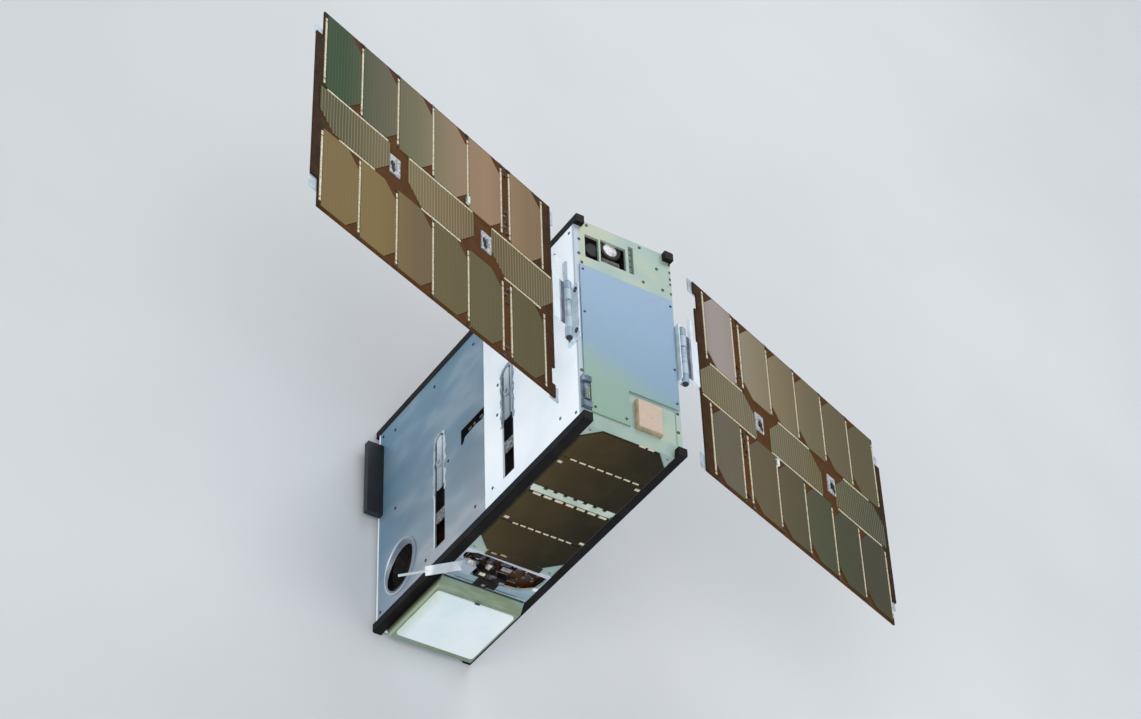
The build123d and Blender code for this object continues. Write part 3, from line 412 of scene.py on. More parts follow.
# Painted half shade on the turned aluminium cone in the port: even mid grey, satin
port_half_shade = finish("painted_half_shade_port_cone", ("#5f6a75", "#6f7a85", "#828c97"), (0.42, 0.55), 0.15, 18, 0.5)

# Blasted aluminium bushings: light grey with a coarse speckle
speckled = finish("blasted_bushing_metal", ("#84868b", "#aeb1b5", "#d6d8da"), (0.4, 0.55), 0.15, 1.6, 0.5)

# Turned aluminium rim of the port: bright at the rear, greyer towards the front
rim_metal = finish("bright_rim", ("#a9bac8", "#bccbd6", "#cfdbe3"), (0.3, 0.42), 0.25, 12, 0.6)
drift(rim_metal, 1.0, "Z", 22.0, 72.0, (0, "#c6d1d9"), (0.5, "#a3b0bc"), (1, "#7f8b98"))

# Moulded black polymer: satin with a fine grain
black_moulded = finish(
    "moulded_black_polymer", ("#0b0b0d", "#111114", "#1b1c20"), (0.4, 0.55), 0, 15, 0.6, relief=0.35)

# Plated shell of the front connector: slate, clouded from green to lilac
connector_slate = finish("slate_connector_shell", ("#3c5157", "#66778a", "#a4aec5"), (0.45, 0.6), 0.1, 9, 0.6)

# Moulded epoxy packages: black with lilac grey mottles
chip_black = finish("moulded_epoxy_package", ("#0e0c0d", "#1f1b1e", "#6b6470"), (0.45, 0.6), 0, 5, 0.35)

# Moulded relays: plain black sides, and warm grey covers
chip_dark = finish(
    "black_moulded_relay", ("#080607", "#110d0e", "#1d181a"), (0.5, 0.6), 0, 5, 0.35, Specular_IOR_Level=0.2)
relay_grey = finish("grey_relay_covers", ("#6c646b", "#837b83", "#9a93a0"), (0.45, 0.6), 0, 4, 0.5)

# Fired ceramic parts: cream and satin
cream_ceramic = finish("cream_ceramic_parts", ("#a8a08a", "#d8d2bd", "#efeadb"), (0.45, 0.6), 0, 3, 0.35)

# Sealant in the seams: dark green, matt
dark_line = finish("dark_green_sealant", ("#16211c", "#24322b", "#33433a"), (0.5, 0.65), 0, 6, 0.5)

# Cast camera body and the dim dome beside it: grey brown, matt
body_grey = finish("grey_brown_camera_body", ("#2f2a26", "#4a433c", "#635b52"), (0.5, 0.65), 0.1, 4, 0.5)

# Bloomed lens glass, glossy: its silver is a painted reflection
glass_with_painted_reflection = finish(
    "coated_lens_painted_reflection", ("#908e93", "#bdbcbf", "#e6e5e5"), (0.25, 0.35), 0, 6, 2.0, Coat_Weight=0.3,
    Coat_Roughness=0.15)

# Turned aluminium, flat black anodised: matt, without a highlight
optic_black = finish("flat_black_anodised_aluminium", ("#0c0a09", "#171311", "#2a2420"), (0.55, 0.7), 0.1, 4)

# Flat black for painted shade in the recess, the slots and the port, and on the slots' cross bars: the
# deepest black, without gloss
shade_black = finish(
    "painted_shade_black", ("#030304", "#060607", "#0c0c0f"), (0.8, 0.95), 0, 5, 0.7, Specular_IOR_Level=0.04)

# Spring steel wire: cool grey, with a soft shine round each coil
spring_steel = finish(
    "rolled_spring_steel", ("#a6b7c1", "#b8c6cf", "#cad6dd"), (0.25, 0.38), 0.45, 8, 0.5, (30, 1, 1))

# Rolled steel tape of the antenna: smooth and pale, with a white gleam halfway along
tape_metal = finish(
    "rolled_steel_tape", ("#b9c2cc", "#c6ced7", "#d6dde3"), (0.3, 0.4), 0.15, 14, 0.6, (30, 1, 1), 0.01, 0.1)
drift(tape_metal, 0.7, "X", -74.0, -34.0, (0, "#c3d2d8"), (0.03, "#c8d4da"), (0.05, "#ffffff"),
      (0.18, "#fafcfc"), (0.28, "#bcc6ce"), (0.7, "#b0bac6"), (1, "#dfe3ea"))

# Screws: stainless steel with turned heads, and blackened steel on the panels
stainless = finish("turned_stainless_steel", ("#6f7579", "#8b9194", "#a7acaf"), (0.25, 0.4), 0.7, 0.8, 0.3)
dark_steel = finish("blackened_steel_screw", ("#12171a", "#1e262b", "#303a41"), (0.4, 0.55), 0.3, 0.8, 0.4)

# Sensor board in the narrow slot: olive green, matt
sensor_green = finish("sensor_board_green", ("#55655a", "#5d6d61", "#67776a"), (0.5, 0.6), 0, 6, 0.6)

# Inside, seen through the openings: plain milled alloy, a brown anodised block and dark brown trays
inner_alloy = finish(
    "milled_inner_alloy", ("#4c4f50", "#5e6263", "#737778"), (0.45, 0.6), 0.4, 12, lie=(1, 1, 5))
inner_warm = finish("brown_anodised_block", ("#3c2216", "#5e3826", "#83543d"), (0.5, 0.65), 0, 10, 0.8)
inner_dark = finish(
    "dark_brown_tray", ("#0d0706", "#170e0b", "#2c1d16"), (0.55, 0.7), 0, 9, 0.8, Specular_IOR_Level=0.15)

# Painted studio floor: pale and even
floor_grey = finish("pale_floor", ("#d6d9dc", "#d9dcdf", "#dcdfe2"), (0.65, 0.75), 0, 400, 30, relief=0.05)

# Finishes of the carried-over parts
FINISHES = (
    (rail_black, "rails"), (white_paint, "side_panel_left_front", "side_panel_right_front"),
    (grey_plate, "side_panel_left_rear", "side_panel_right_rear"), (pale_chromate, "front_panel"),
    (base_chromate, "antenna_base"), (chromate, "antenna_panel", "lower_panel", "upper_panel"),
    (strip_tape, "notched_strip"), (frame_metal, "cut_out_frame", "tape_clamp"), (white_metal, "rear_panel"),
    (mirror_tape, "radiator"), (patch_peach, "patch_antenna"), (patch_edge, "patch_base"),
    (board_brown, "circuit_board"), (cell_board, "cell_boards"), (body_cell, "lower_cells", "upper_cells"),
    (radome_white, "radome"), (inner_dark, "hold_down_trays"), (cheek_metal, "hold_down_blocks"),
    (bright_metal, "board_posts"), (rim_metal, "side_port"), (black_moulded, "tip_rests", "side_recess"),
    # The slots' cross bars are laid in painted shade
    (shade_black, "slot_cross_bars"), (chip_black, "board_chips"), (dark_steel, "hinge_pins"),
    (connector_slate, "connector_bracket"), (glass_with_painted_reflection, "star_camera_lenses"), (sensor_green, "sun_sensor"),
    (optic_black, "star_camera_housings", "star_camera_barrels", "port_cup"), (tape_metal, "tape_antenna"),
    (inner_alloy, "inner_frames"), (inner_warm, "equipment_stack"))
PAIRED_FINISHES = (
    (film_amber, "wing_board"), (clear_metal, "wing_tabs"), (speckled, "wing_bushings"),
    (radome_white, "wing_connector"), (bracket_metal, "hinge_bracket"), (leaf_metal, "hinge_leaf"))


def dress(node, surface):
    """Puts one finish on a carried-over part."""
    data = nodes[node].data
    data.materials.clear()
    data.materials.append(surface.made)


for surface, *names in FINISHES:
    for name in names:
        dress(name, surface)
for side, name in SIDES:
    for surface, part in PAIRED_FINISHES:
        dress(f"{part}_{name}", surface)
    for row, tones in CELL_TONES[name].items():
        dress(f"wing_cells_{row}_{name}",
              wing_cell_glass(f"cell_glass_{row}_{name}", side, tones, FINGER_SHARES[row]))


# Makers of the added pieces
def new_piece(name, mesh, surface, body="body"):
    """Registers a finished mesh as a piece that rides on a body."""
    mesh.name = name
    thing = new_object(name, mesh)
    if not mesh.materials:
        mesh.materials.append(surface.made)
    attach(thing, body)
    return thing


def grow(name, rows, group, inputs, surface, body="body"):
    """Runs a geometry tree on loose points, rows of (place, turn, size), and keeps the plain result."""
    source = bpy.data.meshes.new(name + "_points")
    source.from_pydata([tuple(row[0]) for row in rows], [], [])
    for key, column in (("turn", 1), ("size", 2)):
        layer = source.attributes.new(key, "FLOAT_VECTOR", "POINT")
        for k, row in enumerate(rows):
            layer.data[k].vector = row[column]
    start = new_object(name + "_source", source)
    step = start.modifiers.new("grow", "NODES")
    step.node_group = group
    sockets = {s.name: s.identifier for s in group.interface.items_tree if s.in_out == "INPUT"}
    for key, value in inputs.items():
        step[sockets[key]] = value
    step[sockets["Finish"]] = surface.made
    bpy.context.view_layer.update()
    graph = bpy.context.evaluated_depsgraph_get()
    mesh = bpy.data.meshes.new_from_object(start.evaluated_get(graph))
    bpy.data.objects.remove(start)
    return new_piece(name, mesh, surface, body)


def new_tree(name, *inputs):
    """A geometry tree with named inputs: (name, kind, default)."""
    group = bpy.data.node_groups.new(name, "GeometryNodeTree")
    group.interface.new_socket("Geometry", in_out="INPUT", socket_type="NodeSocketGeometry")
    for key, kind, value in inputs:
        socket = group.interface.new_socket(key, in_out="INPUT", socket_type=kind)
        socket.default_value = value
    group.interface.new_socket("Finish", in_out="INPUT", socket_type="NodeSocketMaterial")
    group.interface.new_socket("Geometry", in_out="OUTPUT", socket_type="NodeSocketGeometry")
    return group, add(group, "NodeGroupInput").outputs


def at_points(group, given, shape):
    """Puts one shape at each point, turned and sized as the point says."""
    turn = add(group, "GeometryNodeInputNamedAttribute", {"data_type": "FLOAT_VECTOR"}, Name="turn")
    turn = add(group, "FunctionNodeEulerToRotation", Euler=turn)
    size = add(group, "GeometryNodeInputNamedAttribute", {"data_type": "FLOAT_VECTOR"}, Name="size")
    return add(group, "GeometryNodeInstanceOnPoints", Points=given["Geometry"], Instance=shape, Rotation=turn,
               Scale=size)


def close_tree(group, given, shape):
    """Ends a tree: real geometry in one finish."""
    shape = add(group, "GeometryNodeRealizeInstances", Geometry=shape)
    shape = add(group, "GeometryNodeSetMaterial", Geometry=shape, Material=given["Finish"])
    add(group, "NodeGroupOutput", Geometry=shape)


# Screws: turned heads with a broken edge and a round socket, one at each point
SOCKET_DEPTH = 0.6
screw_tree, given = new_tree(
    "screw_heads", ("Radius", "NodeSocketFloat", 0.0015), ("Height", "NodeSocketFloat", 0.0008),
    ("Edge", "NodeSocketFloat", 0.86), ("Socket", "NodeSocketFloat", 0.5))
head = add(screw_tree, "GeometryNodeMeshCylinder", Vertices=18, Radius=given["Radius"], Depth=given["Height"])
shape = add(screw_tree, "GeometryNodeScaleElements", Geometry=head.outputs["Mesh"],
            Selection=head.outputs["Top"], Scale=given["Edge"])
rim = add(screw_tree, "GeometryNodeExtrudeMesh", {"mode": "FACES"}, Mesh=shape,
          Selection=head.outputs["Top"], Offset_Scale=0.0)
shape = add(screw_tree, "GeometryNodeScaleElements", Geometry=rim.outputs["Mesh"],
            Selection=rim.outputs["Top"], Scale=given["Socket"])
depth = add(screw_tree, "ShaderNodeMath", {"operation": "MULTIPLY"}, n0=given["Height"], n1=-SOCKET_DEPTH)
shape = add(screw_tree, "GeometryNodeExtrudeMesh", {"mode": "FACES"}, Mesh=shape,
            Selection=rim.outputs["Top"], Offset_Scale=depth)
close_tree(screw_tree, given, at_points(screw_tree, given, shape.outputs["Mesh"]))

# Strips: thin bars such as ribbons, dashes, pads and traces, each with its own size, creased a little
CREASES_PER_METRE = 420.0
strip_tree, given = new_tree(
    "strips", ("Crease", "NodeSocketFloat", 0.0), ("Cuts", "NodeSocketInt", 2), ("Seed", "NodeSocketInt", 3))
bar = add(strip_tree, "GeometryNodeMeshCube", Size=(1, 1, 1), Vertices_X=given["Cuts"], Vertices_Y=2,
          Vertices_Z=2)
shape = add(strip_tree, "GeometryNodeRealizeInstances", Geometry=at_points(strip_tree, given, bar))
ripple = add(strip_tree, "ShaderNodeTexNoise", {"noise_dimensions": "4D"}, W=given["Seed"],
             Scale=CREASES_PER_METRE, Detail=1.0)
ripple = add(strip_tree, "ShaderNodeMath", {"operation": "SUBTRACT"}, n0=ripple, n1=0.5)
ripple = add(strip_tree, "ShaderNodeMath", {"operation": "MULTIPLY"}, n0=ripple, n1=given["Crease"])
offset = add(strip_tree, "ShaderNodeCombineXYZ", X=ripple, Y=ripple, Z=ripple)
shape = add(strip_tree, "GeometryNodeSetPosition", Geometry=shape, Offset=offset)
close_tree(strip_tree, given, shape)

# Coil springs: one round wire coil at each point
coil_tree, given = new_tree(
    "coil_springs", ("Turns", "NodeSocketFloat", 9.0), ("Radius", "NodeSocketFloat", 0.0026),
    ("Wire", "NodeSocketFloat", 0.0006), ("Length", "NodeSocketFloat", 0.015))
line = add(coil_tree, "GeometryNodeCurveSpiral", Resolution=22, Rotations=given["Turns"],
           Start_Radius=given["Radius"], End_Radius=given["Radius"], Height=given["Length"])
section = add(coil_tree, "GeometryNodeCurvePrimitiveCircle", Resolution=8, Radius=given["Wire"])
coil = add(coil_tree, "GeometryNodeCurveToMesh", Curve=line, Profile_Curve=section, Fill_Caps=True)
close_tree(coil_tree, given, at_points(coil_tree, given, coil))

# Turns that lay a bar or a screw head on each face
FRONT, BACK = (0.0, 0.0, 0.0), (math.pi, 0.0, 0.0)
DOWN, UP = (math.pi / 2, 0.0, 0.0), (-math.pi / 2, 0.0, 0.0)
LEFT, RIGHT = (0.0, -math.pi / 2, 0.0), (0.0, math.pi / 2, 0.0)
WING_FACE = (0.0, WING_TURN, 0.0)
WING_BACK = (0.0, WING_TURN + math.pi, 0.0)
ONE = (1.0, 1.0, 1.0)


def size_mm(*values):
    """Sizes in mm, in metres."""
    return tuple(v / 1000 for v in values)


def screws(name, rows, surface, body="body", radius=1.6, height=0.8):
    """Screw heads in one finish on one body."""
    return grow(name, rows, screw_tree, {"Radius": radius / 1000, "Height": height / 1000}, surface, body)


def strips(name, rows, surface, body="body", crease=0.0, cuts=2):
    """Thin bars in one finish on one body."""
    return grow(name, rows, strip_tree, {"Crease": crease / 1000, "Cuts": cuts}, surface, body)


def bar_below(x, h, d, *size):
    """A bar on the lower face: its middle, then its size across, along and through."""
    return at(x, h, d), DOWN, size_mm(*size)


def bar_on_wing(side, u, v, rise, *size):
    """A bar on a wing, rise mm off the board's face: its middle, then its size out, across and through."""
    return on_wing(side, u, v, BOARD_TOP + rise), WING_FACE, size_mm(*size)


def outward(mesh):
    """Turns a closed mesh's faces to point outwards."""
    work = bmesh.new()
    work.from_mesh(mesh)
    bmesh.ops.remove_doubles(work, verts=work.verts, dist=1e-7)
    bmesh.ops.recalc_face_normals(work, faces=work.faces)
    work.to_mesh(mesh)
    work.free()


def prism_mesh(solids, ring=False):
    """Closed solids from matching lines of points, each line joined to the next and the last to the first.

    A ring has no ends: each line's last point is joined to its first.
    """
    verts, faces = [], []
    for lines in solids:
        count, start = len(lines[0]), len(verts)
        verts += [tuple(point) for line in lines for point in line]
        for r in range(len(lines)):
            this, other = start + r * count, start + (r + 1) % len(lines) * count
            for k in range(count if ring else count - 1):
                after = (k + 1) % count
                faces.append((this + k, this + after, other + after, other + k))
        if not ring:
            faces.append(tuple(start + r * count for r in range(len(lines))))
            faces.append(tuple(start + r * count + count - 1 for r in reversed(range(len(lines)))))
    mesh = bpy.data.meshes.new("prism")
    mesh.from_pydata(verts, [], faces)
    outward(mesh)
    return mesh


LARGEST_CUT, CUT_SHARE = 1.2, 0.18
ROUND_STEPS = 40


def boxes(name, rows, surface):
    """Plates in one finish: (x0, x1, h0, h1, d0, d1) with the corners of each side cut off."""
    solids = []
    for x0, x1, h0, h1, d0, d1 in rows:
        cut = min(LARGEST_CUT, CUT_SHARE * min(h1 - h0, d1 - d0))
        outline = ((h0 + cut, d0), (h1 - cut, d0), (h1, d0 + cut), (h1, d1 - cut),
                   (h1 - cut, d1), (h0 + cut, d1), (h0, d1 - cut), (h0, d0 + cut))
        solids.append([[at(x0, h, d), at(x1, h, d)] for h, d in outline])
    return new_piece(name, prism_mesh(solids), surface)


def turned(name, rows, surface):
    """Round pieces about the depth axis: (x, h, profile) with profile points (radius, depth)."""
    solids = []
    for x, h, profile in rows:
        angles = [math.tau * k / ROUND_STEPS for k in range(ROUND_STEPS)]
        solids.append([[at(x + r * math.cos(a), h + r * math.sin(a), d) for r, d in profile] for a in angles])
    return new_piece(name, prism_mesh(solids), surface)


# Screws on the body, on the side faces and the front end. Heads stand half in the face and half out of it.
SIDE_SCREWS = (
    (204.6, 306), (113, 304), (205, 168.7), (23.3, 168), (24.2, 35), (103, 212), (96.6, 131), (128.8, 129.3),
    (205, 140), (205, 35), (24, 140), (205, 236), (20, 250), (14, 328), (212, 328), (14, 12), (212, 12))
WHITE_PANEL_END, PANEL_FRONT, RAISED_FRONT, REAR_END = 152, 5.0, 3.8, 335.5
FRONT_SCREWS = (
    (5.5, 202.3), (4.9, 185.8), (7.5, 176.5), (8.2, 68.1), (2.8, 55), (96.8, 168.3), (97, 131), (97, 93.4),
    (96.6, 72), (96.4, 48), (96, 28), (68, 222), (14, 222), (85, 205), (70, 183), (90, 183))
RAISED_SCREWS = ((7.5, 168), (7.5, 120), (96, 166), (96, 95), (96, 58), (14, 20), (44, 20))
rear_rows, rows = [], []
for turn, x in ((LEFT, MIDDLE_X - SIDE_FACE), (RIGHT, MIDDLE_X + SIDE_FACE)):
    for h, d in SIDE_SCREWS:
        (rows if d < WHITE_PANEL_END else rear_rows).append((at(x, h, d), turn, ONE))
screws("side_screws", rear_rows, dark_steel, radius=1.7)
rows += [(at(x, h, PANEL_FRONT), FRONT, ONE) for x, h in FRONT_SCREWS]
rows += [(at(x, h, RAISED_FRONT), FRONT, (0.8, 0.8, 1.0)) for x, h in RAISED_SCREWS]
screws("panel_screws", rows, dark_steel)

# Screws on the lower face, the upper face and the rear end
LOWER_SCREWS = ((12.5, 11), (87.5, 11), (12.5, 189.8), (87.5, 189.8))
UPPER_SCREWS = ((12, 329), (88, 329), (50, 331))
REAR_SCREWS = ((6, (20, 75, 150, 206)), (50, (20, 206)), (94, (20, 75, 150, 206)))
rows = [(at(x, 0.5, d), DOWN, (0.75, 0.75, 1.0)) for x, d in LOWER_SCREWS]
rows += [(at(x, HEIGHT - 0.5, d), UP, (0.75, 0.75, 1.0)) for x, d in UPPER_SCREWS]
rows += [(at(x, h, REAR_END), BACK, ONE) for x, heights in REAR_SCREWS for h in heights]
screws("end_screws", rows, stainless)

# Screws of the hinges: (height, depth, width) on the brackets, and two columns of three on the leaves' backs
BRACKET_SCREWS = ((140, 3.6, 1.5), (95.6, 4.2, 1.5), (141, 14.5, 0.9), (92, 14.5, 0.9))
for side, name in SIDES:
    x = MIDDLE_X + side * 51.1
    rows = [(at(x, h, d), LEFT if side < 0 else RIGHT, (k, k, 1.2)) for h, d, k in BRACKET_SCREWS]
    screws(f"bracket_screws_{name}", rows, dark_steel, radius=1.8, height=1.0)
    rows = [(on_wing(side, u, -side * (h - WING_MIDDLE - HEIGHT / 2), -2.2), WING_BACK, ONE)
            for u in (27.0, 37.0) for h in (104.0, 120.0, 138.0)]
    screws(f"leaf_screws_{name}", rows, stainless, f"{name}_wing")

# Bus ribbons on the wings: upright ones between the cells, in three lengths each, and lying ones between rows
UPRIGHT_LINES = (34.65, 77.75, 88.35, 131.45, 174.55, 217.65, 260.75, 303.85)
LYING_SPANS = ((24, 101), (126, 204), (229, 300))
LYING_LINE, CROPPED = 21.5, 15.0
RIBBON_INNER, RIBBON_OUTER, RIBBON_RISE = 25.0, 101.5, 0.28
INNER_TICKS, OUTER_TICKS = 24.2, 103.4

# Small parts at the column break: (out, across, width, height), each with a solder pad beside it
BREAK_PARTS = (
    (80.8, 30.5, 2.2, 3), (84, 36, 2.6, 2), (81.5, 41.5, 1.6, 3.4), (84.6, 47, 2, 2), (82, 53, 3, 1.6),
    (83, 95, 2.4, 3), (81, -32, 2.4, 3.2), (84.2, -38.5, 2, 2.6), (82.4, -46, 3.2, 1.8), (83, -94, 2.4, 2.6))
CONNECTOR_PADS = (27.5, 29.2, 30.9, 32.4)
for side, name in SIDES:
    wing = f"{name}_wing"
    rows = []
    for k, u in enumerate(UPRIGHT_LINES):
        inner = RIBBON_INNER + (k * 7 % 3)
        outer = RIBBON_OUTER - (k * 5 % 4)
        for sign in (-1, 1):
            for v0, v1 in ((inner, inner + 4.2), (inner + 5.5, outer - 4.0), (outer - 2.8, outer)):
                rows.append(bar_on_wing(side, u, sign * (v0 + v1) / 2, RIBBON_RISE, 1.9, v1 - v0, 0.5))
    for u0, u1 in LYING_SPANS:
        for v, shorter in ((LYING_LINE, 0.0), (-LYING_LINE, 2 * CROPPED)):
            rows.append(bar_on_wing(side, (u0 + u1) / 2, v, RIBBON_RISE, u1 - u0 - shorter, 1.7, 0.5))
    strips(f"bus_ribbons_{name}", rows, tinned, wing, 0.25, 9)
    rows = []
    for u in UPRIGHT_LINES[1:-1]:
        for sign in (-1, 1):
            rows.append(bar_on_wing(side, u, sign * OUTER_TICKS, 0.3, 4.4, 2.2, 0.6))
            rows.append(bar_on_wing(side, u + 0.4, sign * INNER_TICKS, 0.25, 2.6, 1.8, 0.5))
    rows += [bar_on_wing(side, u, v, 0.5, wide, high, 1.0) for u, v, wide, high in BREAK_PARTS]
    strips(f"wing_diodes_{name}", rows, chip_black, wing)
    rows = [bar_on_wing(side, part[0] + 1.8, part[1], 0.2, 1.2, 1.6, 0.5) for part in BREAK_PARTS]
    rows += [bar_on_wing(side, 132.2, v, 1.3, 4.6, 0.7, 0.5) for v in CONNECTOR_PADS]
    strips(f"wing_solder_pads_{name}", rows, stainless, wing)

# Interconnects on the lower face: rows of (depth, first and last place, count, length), their end blocks,
# two blocks by the front edge and the longer dashes beside the notched strip
CELL_LEVEL = -0.8
DASH_ROWS = ((49.1, 17, 86, 8, 6), (144.1, 21, 81, 8, 5.2))
END_BLOCKS = ((13.6, 140), (87.6, 140), (12.5, 56), (87.4, 55.4))
rows = []
for d, x0, x1, count, long in DASH_ROWS:
    for k in range(count):
        rows.append(bar_below(x0 + (x1 - x0) * (k + 0.5) / count, CELL_LEVEL, d, long, 1.5, 0.4))
rows += [bar_below(x, 0.0, 7.6, 6.0, 1.6, 0.6) for x in (60.5, 69.0)]
rows += [bar_below(x, CELL_LEVEL, d, 4.2, 2.6, 0.6) for x, d in END_BLOCKS]
rows += [bar_below(19.0 + 10.7 * k, -0.55, 101.3, 7.4, 2.2, 0.9) for k in range(7)]
strips("cell_interconnects", rows, tinned, crease=0.15, cuts=4)

# Trim of the lower face: the notched strip's tail and painted shadows at its notches, lines at the cut-out's
# frame, the seams and the mark of the antenna's base, and the dark margin of the cell board
TRIM = (
    ("strip_tail", strip_tape, ((50, -0.25, 97.4, 78, 3.6, 0.5),)),
    # Painted shadow at the strip's notches, in the cell glass's colour
    ("strip_notch_shadows", body_cell, tuple((22 + 9.6 * k, -0.35, 92.7, 3.4, 2.2, 0.4) for k in range(7))),
    ("frame_lines", clear_metal, ((50, -0.12, 194.8, 81, 1, 0.3), (50, -0.12, 233.8, 81, 0.8, 0.3))),
    ("base_seams", dark_line, ((50, -0.3, 236.3, 80, 1.3, 0.4), (50, -0.3, 232.6, 62, 0.3, 0.3),
                               (50, -10, 247, 4.6, 2, 0.5))),
    ("cell_board_margin", body_cell, ((52, -0.25, 190.3, 54, 6.4, 0.4),)))
for name, surface, bars in TRIM:
    strips(name, [bar_below(*bar) for bar in bars], surface)

# Interconnects on the upper face, between its seven cells
FIRST_GAP, CELL_PITCH = 50.95, 45.0
rows = [(at(17.0 + 9.4 * j, HEIGHT + 0.45, FIRST_GAP + CELL_PITCH * k), UP, size_mm(5.6, 1.5, 0.4))
        for k in range(6) for j in range(8)]
strips("upper_interconnects", rows, tinned, crease=0.15, cuts=4)

# The circuit board: flat parts (across from the middle, depth, width, length), pale parts that stand proud
# (across, depth, height, width, length), and traces
BOARD_H = 6.5
SMALL_PARTS = (
    (-36, 224, 3, 1.6), (-29, 196.5, 2.4, 1.4), (-12, 199, 2.4, 1.4), (-7, 199, 1.4, 2.4),
    (19, 202, 3.2, 1.6), (33.5, 199, 2, 2), (34, 213, 2, 3), (29, 213, 1.4, 2.4), (20.5, 221, 3, 1.6),
    (9, 222.5, 2.4, 1.4), (-3, 223, 1.4, 2.4), (-17, 221.5, 3, 1.6), (-25.5, 219.5, 1.6, 3),
    (4, 211.5, 1.4, 2.4), (-9.5, 214, 1.4, 2.4))
CREAM_PARTS = (
    (40.9, 213.4, 4.9, 4, 7), (22, 214.2, 4.9, 5, 3.6), (30.5, 219, 4.9, 3, 2), (26, 206, 4.9, 2.6, 3),
    (37, 218, -0.6, 5.6, 2.8), (18.6, 205.6, -3.2, 4.2, 1.8))
TRACES = (
    (-26, 205, 14), (-8, 202.5, 9), (15, 204.5, 10), (30, 210.5, 9), (18, 223.8, 12), (-12, 218.2, 13),
    (7, 216.8, 9), (-30, 199.6, 10), (24, 197.9, 16))
rows = [bar_below(MIDDLE_X + x, BOARD_H - 0.4, d, wide, long, 0.9) for x, d, wide, long in SMALL_PARTS]
strips("board_small_parts", rows, stainless)
rows = [bar_below(x, h, d, wide, long, 2.4) for x, d, h, wide, long in CREAM_PARTS]
strips("cream_parts", rows, cream_ceramic)
rows = [bar_below(MIDDLE_X + x, BOARD_H - 0.02, d, wide, 0.5, 0.1) for x, d, wide in TRACES]
rows += [bar_below(14.0 + 3.4 * k, BOARD_H - 0.02, 211.0, 0.4, 20.0, 0.1) for k in range(3)]
strips("board_traces", rows, tinned)

# Pins of the connector on the front face, in two columns of seven
rows = [(at(x, 25.0 + 1.7 * k, 1.5), FRONT, size_mm(0.7, 0.7, 0.6)) for k in range(7) for x in (4.6, 6.5)]
strips("connector_pins", rows, tinned)

# Dark notches in the tape along the front panel's right edge
rows = [(at(98.4, h, PANEL_FRONT), FRONT, size_mm(1.8, 2.4, 0.5)) for h in (216, 207, 199, 193, 182)]
strips("edge_notches", rows, black_moulded)

# Hinge springs: true coils in place of the plain ribbed sleeves
WIRE_RADIUS = 0.00062
spring_low, spring_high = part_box("hinge_springs")
coil_low, coil_high = spring_low.y + 0.0007, spring_high.y - 0.0007
rows = [(Vector((side * AXIS_OUT / 1000, coil_high, (LENGTH - AXIS_BACK) / 1000)), DOWN, ONE)
        for side, name in SIDES]
springs = grow("hinge_spring_coils", rows, coil_tree,
               {"Turns": 11.0, "Radius": 0.0026, "Wire": WIRE_RADIUS, "Length": coil_high - coil_low},
               spring_steel)
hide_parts("hinge_springs")

# Parts that stand proud of the circuit board, their grey tops, flat dull parts and a stud on the frame
PROUD_PARTS = (
    (32, 41, -0.8, 7.5, 215.5, 225), (38, 50.5, -1, 7.5, 224.5, 235.6), (49.5, 58.5, -0.6, 7.5, 224.5, 235),
    (50, 62, -0.9, 7.5, 218, 225), (17, 26, 1.5, 7.5, 199, 204), (50, 60.5, 3, 7.5, 204.5, 210.5))
PROUD_TOPS = (
    (56.4, 61.4, -1.1, -0.9, 220.6, 223.6), (45, 48, -1.2, -1, 230, 233), (50.4, 60, 2.8, 3, 204.8, 210.2))
DULL_PARTS = (
    (40, 187.5, -0.3, 5.6, 1.7), (31.2, 188.6, -0.3, 5, 1.7), (71.4, 218.1, 6.3, 1.6, 1.6),
    (73.9, 205, 6.3, 1.6, 2), (85.1, 213.4, 6.3, 1.4, 1.4))
boxes("proud_parts", PROUD_PARTS, chip_dark)
boxes("proud_part_tops", PROUD_TOPS, relay_grey)
rows = [bar_below(x, h, d, wide, long, 0.8) for x, d, h, wide, long in DULL_PARTS]
strips("dull_parts", rows, patch_edge)
boxes("frame_studs", [(86.6, 90.6, -0.8, 0.1, 213.6, 217.4)], white_metal)

# Two-tone bars on the wings' leaves beside the hinges, and the tails of the brackets above them
for side, name in SIDES:
    v = side * (WING_MIDDLE - 7.5)
    for shade, out, wide, rise, thick, surface in (("pale", 12.4, 5.6, -1.0, 1.4, lilac_metal),
                                                   ("dark", 7.3, 4.4, -1.2, 1.2, blue_metal)):
        strips(f"leaf_bar_{shade}_{name}", [bar_on_wing(side, out, v, rise, wide, 45.0, thick)], surface,
               f"{name}_wing")
tails = [(*side_span(side, 0.1, 1.4), 157.0, 184.0, 17.0, 22.0) for side, name in SIDES]
boxes("bracket_tails", tails, clear_metal)

# Painted shade in the stepped recess, a black sheet, and the small parts in it: (height, depth, length)
RECESS_SHADE = ((121.4, 190.4), (121.4, 152.4), (112.6, 152.4), (110.2, 156), (111.6, 167), (110.6, 180),
         (110, 184), (104.8, 187.4), (104.8, 190.4))
RECESS_PARTS = ((112.6, 154, 5), (112.4, 166, 3.6), (112.2, 172.4, 5))
for side, name in SIDES:
    outline = [[at(x, h, d) for x in side_span(side, -0.6, 0.1)] for h, d in RECESS_SHADE]
    new_piece(f"recess_shade_{name}", prism_mesh([outline]), shade_black)
parts = [(*side_span(side, -0.3, 0.3), h, h + 2.6, d, d + long)
         for side, name in SIDES for h, d, long in RECESS_PARTS]
boxes("recess_parts", parts, slate_parts)

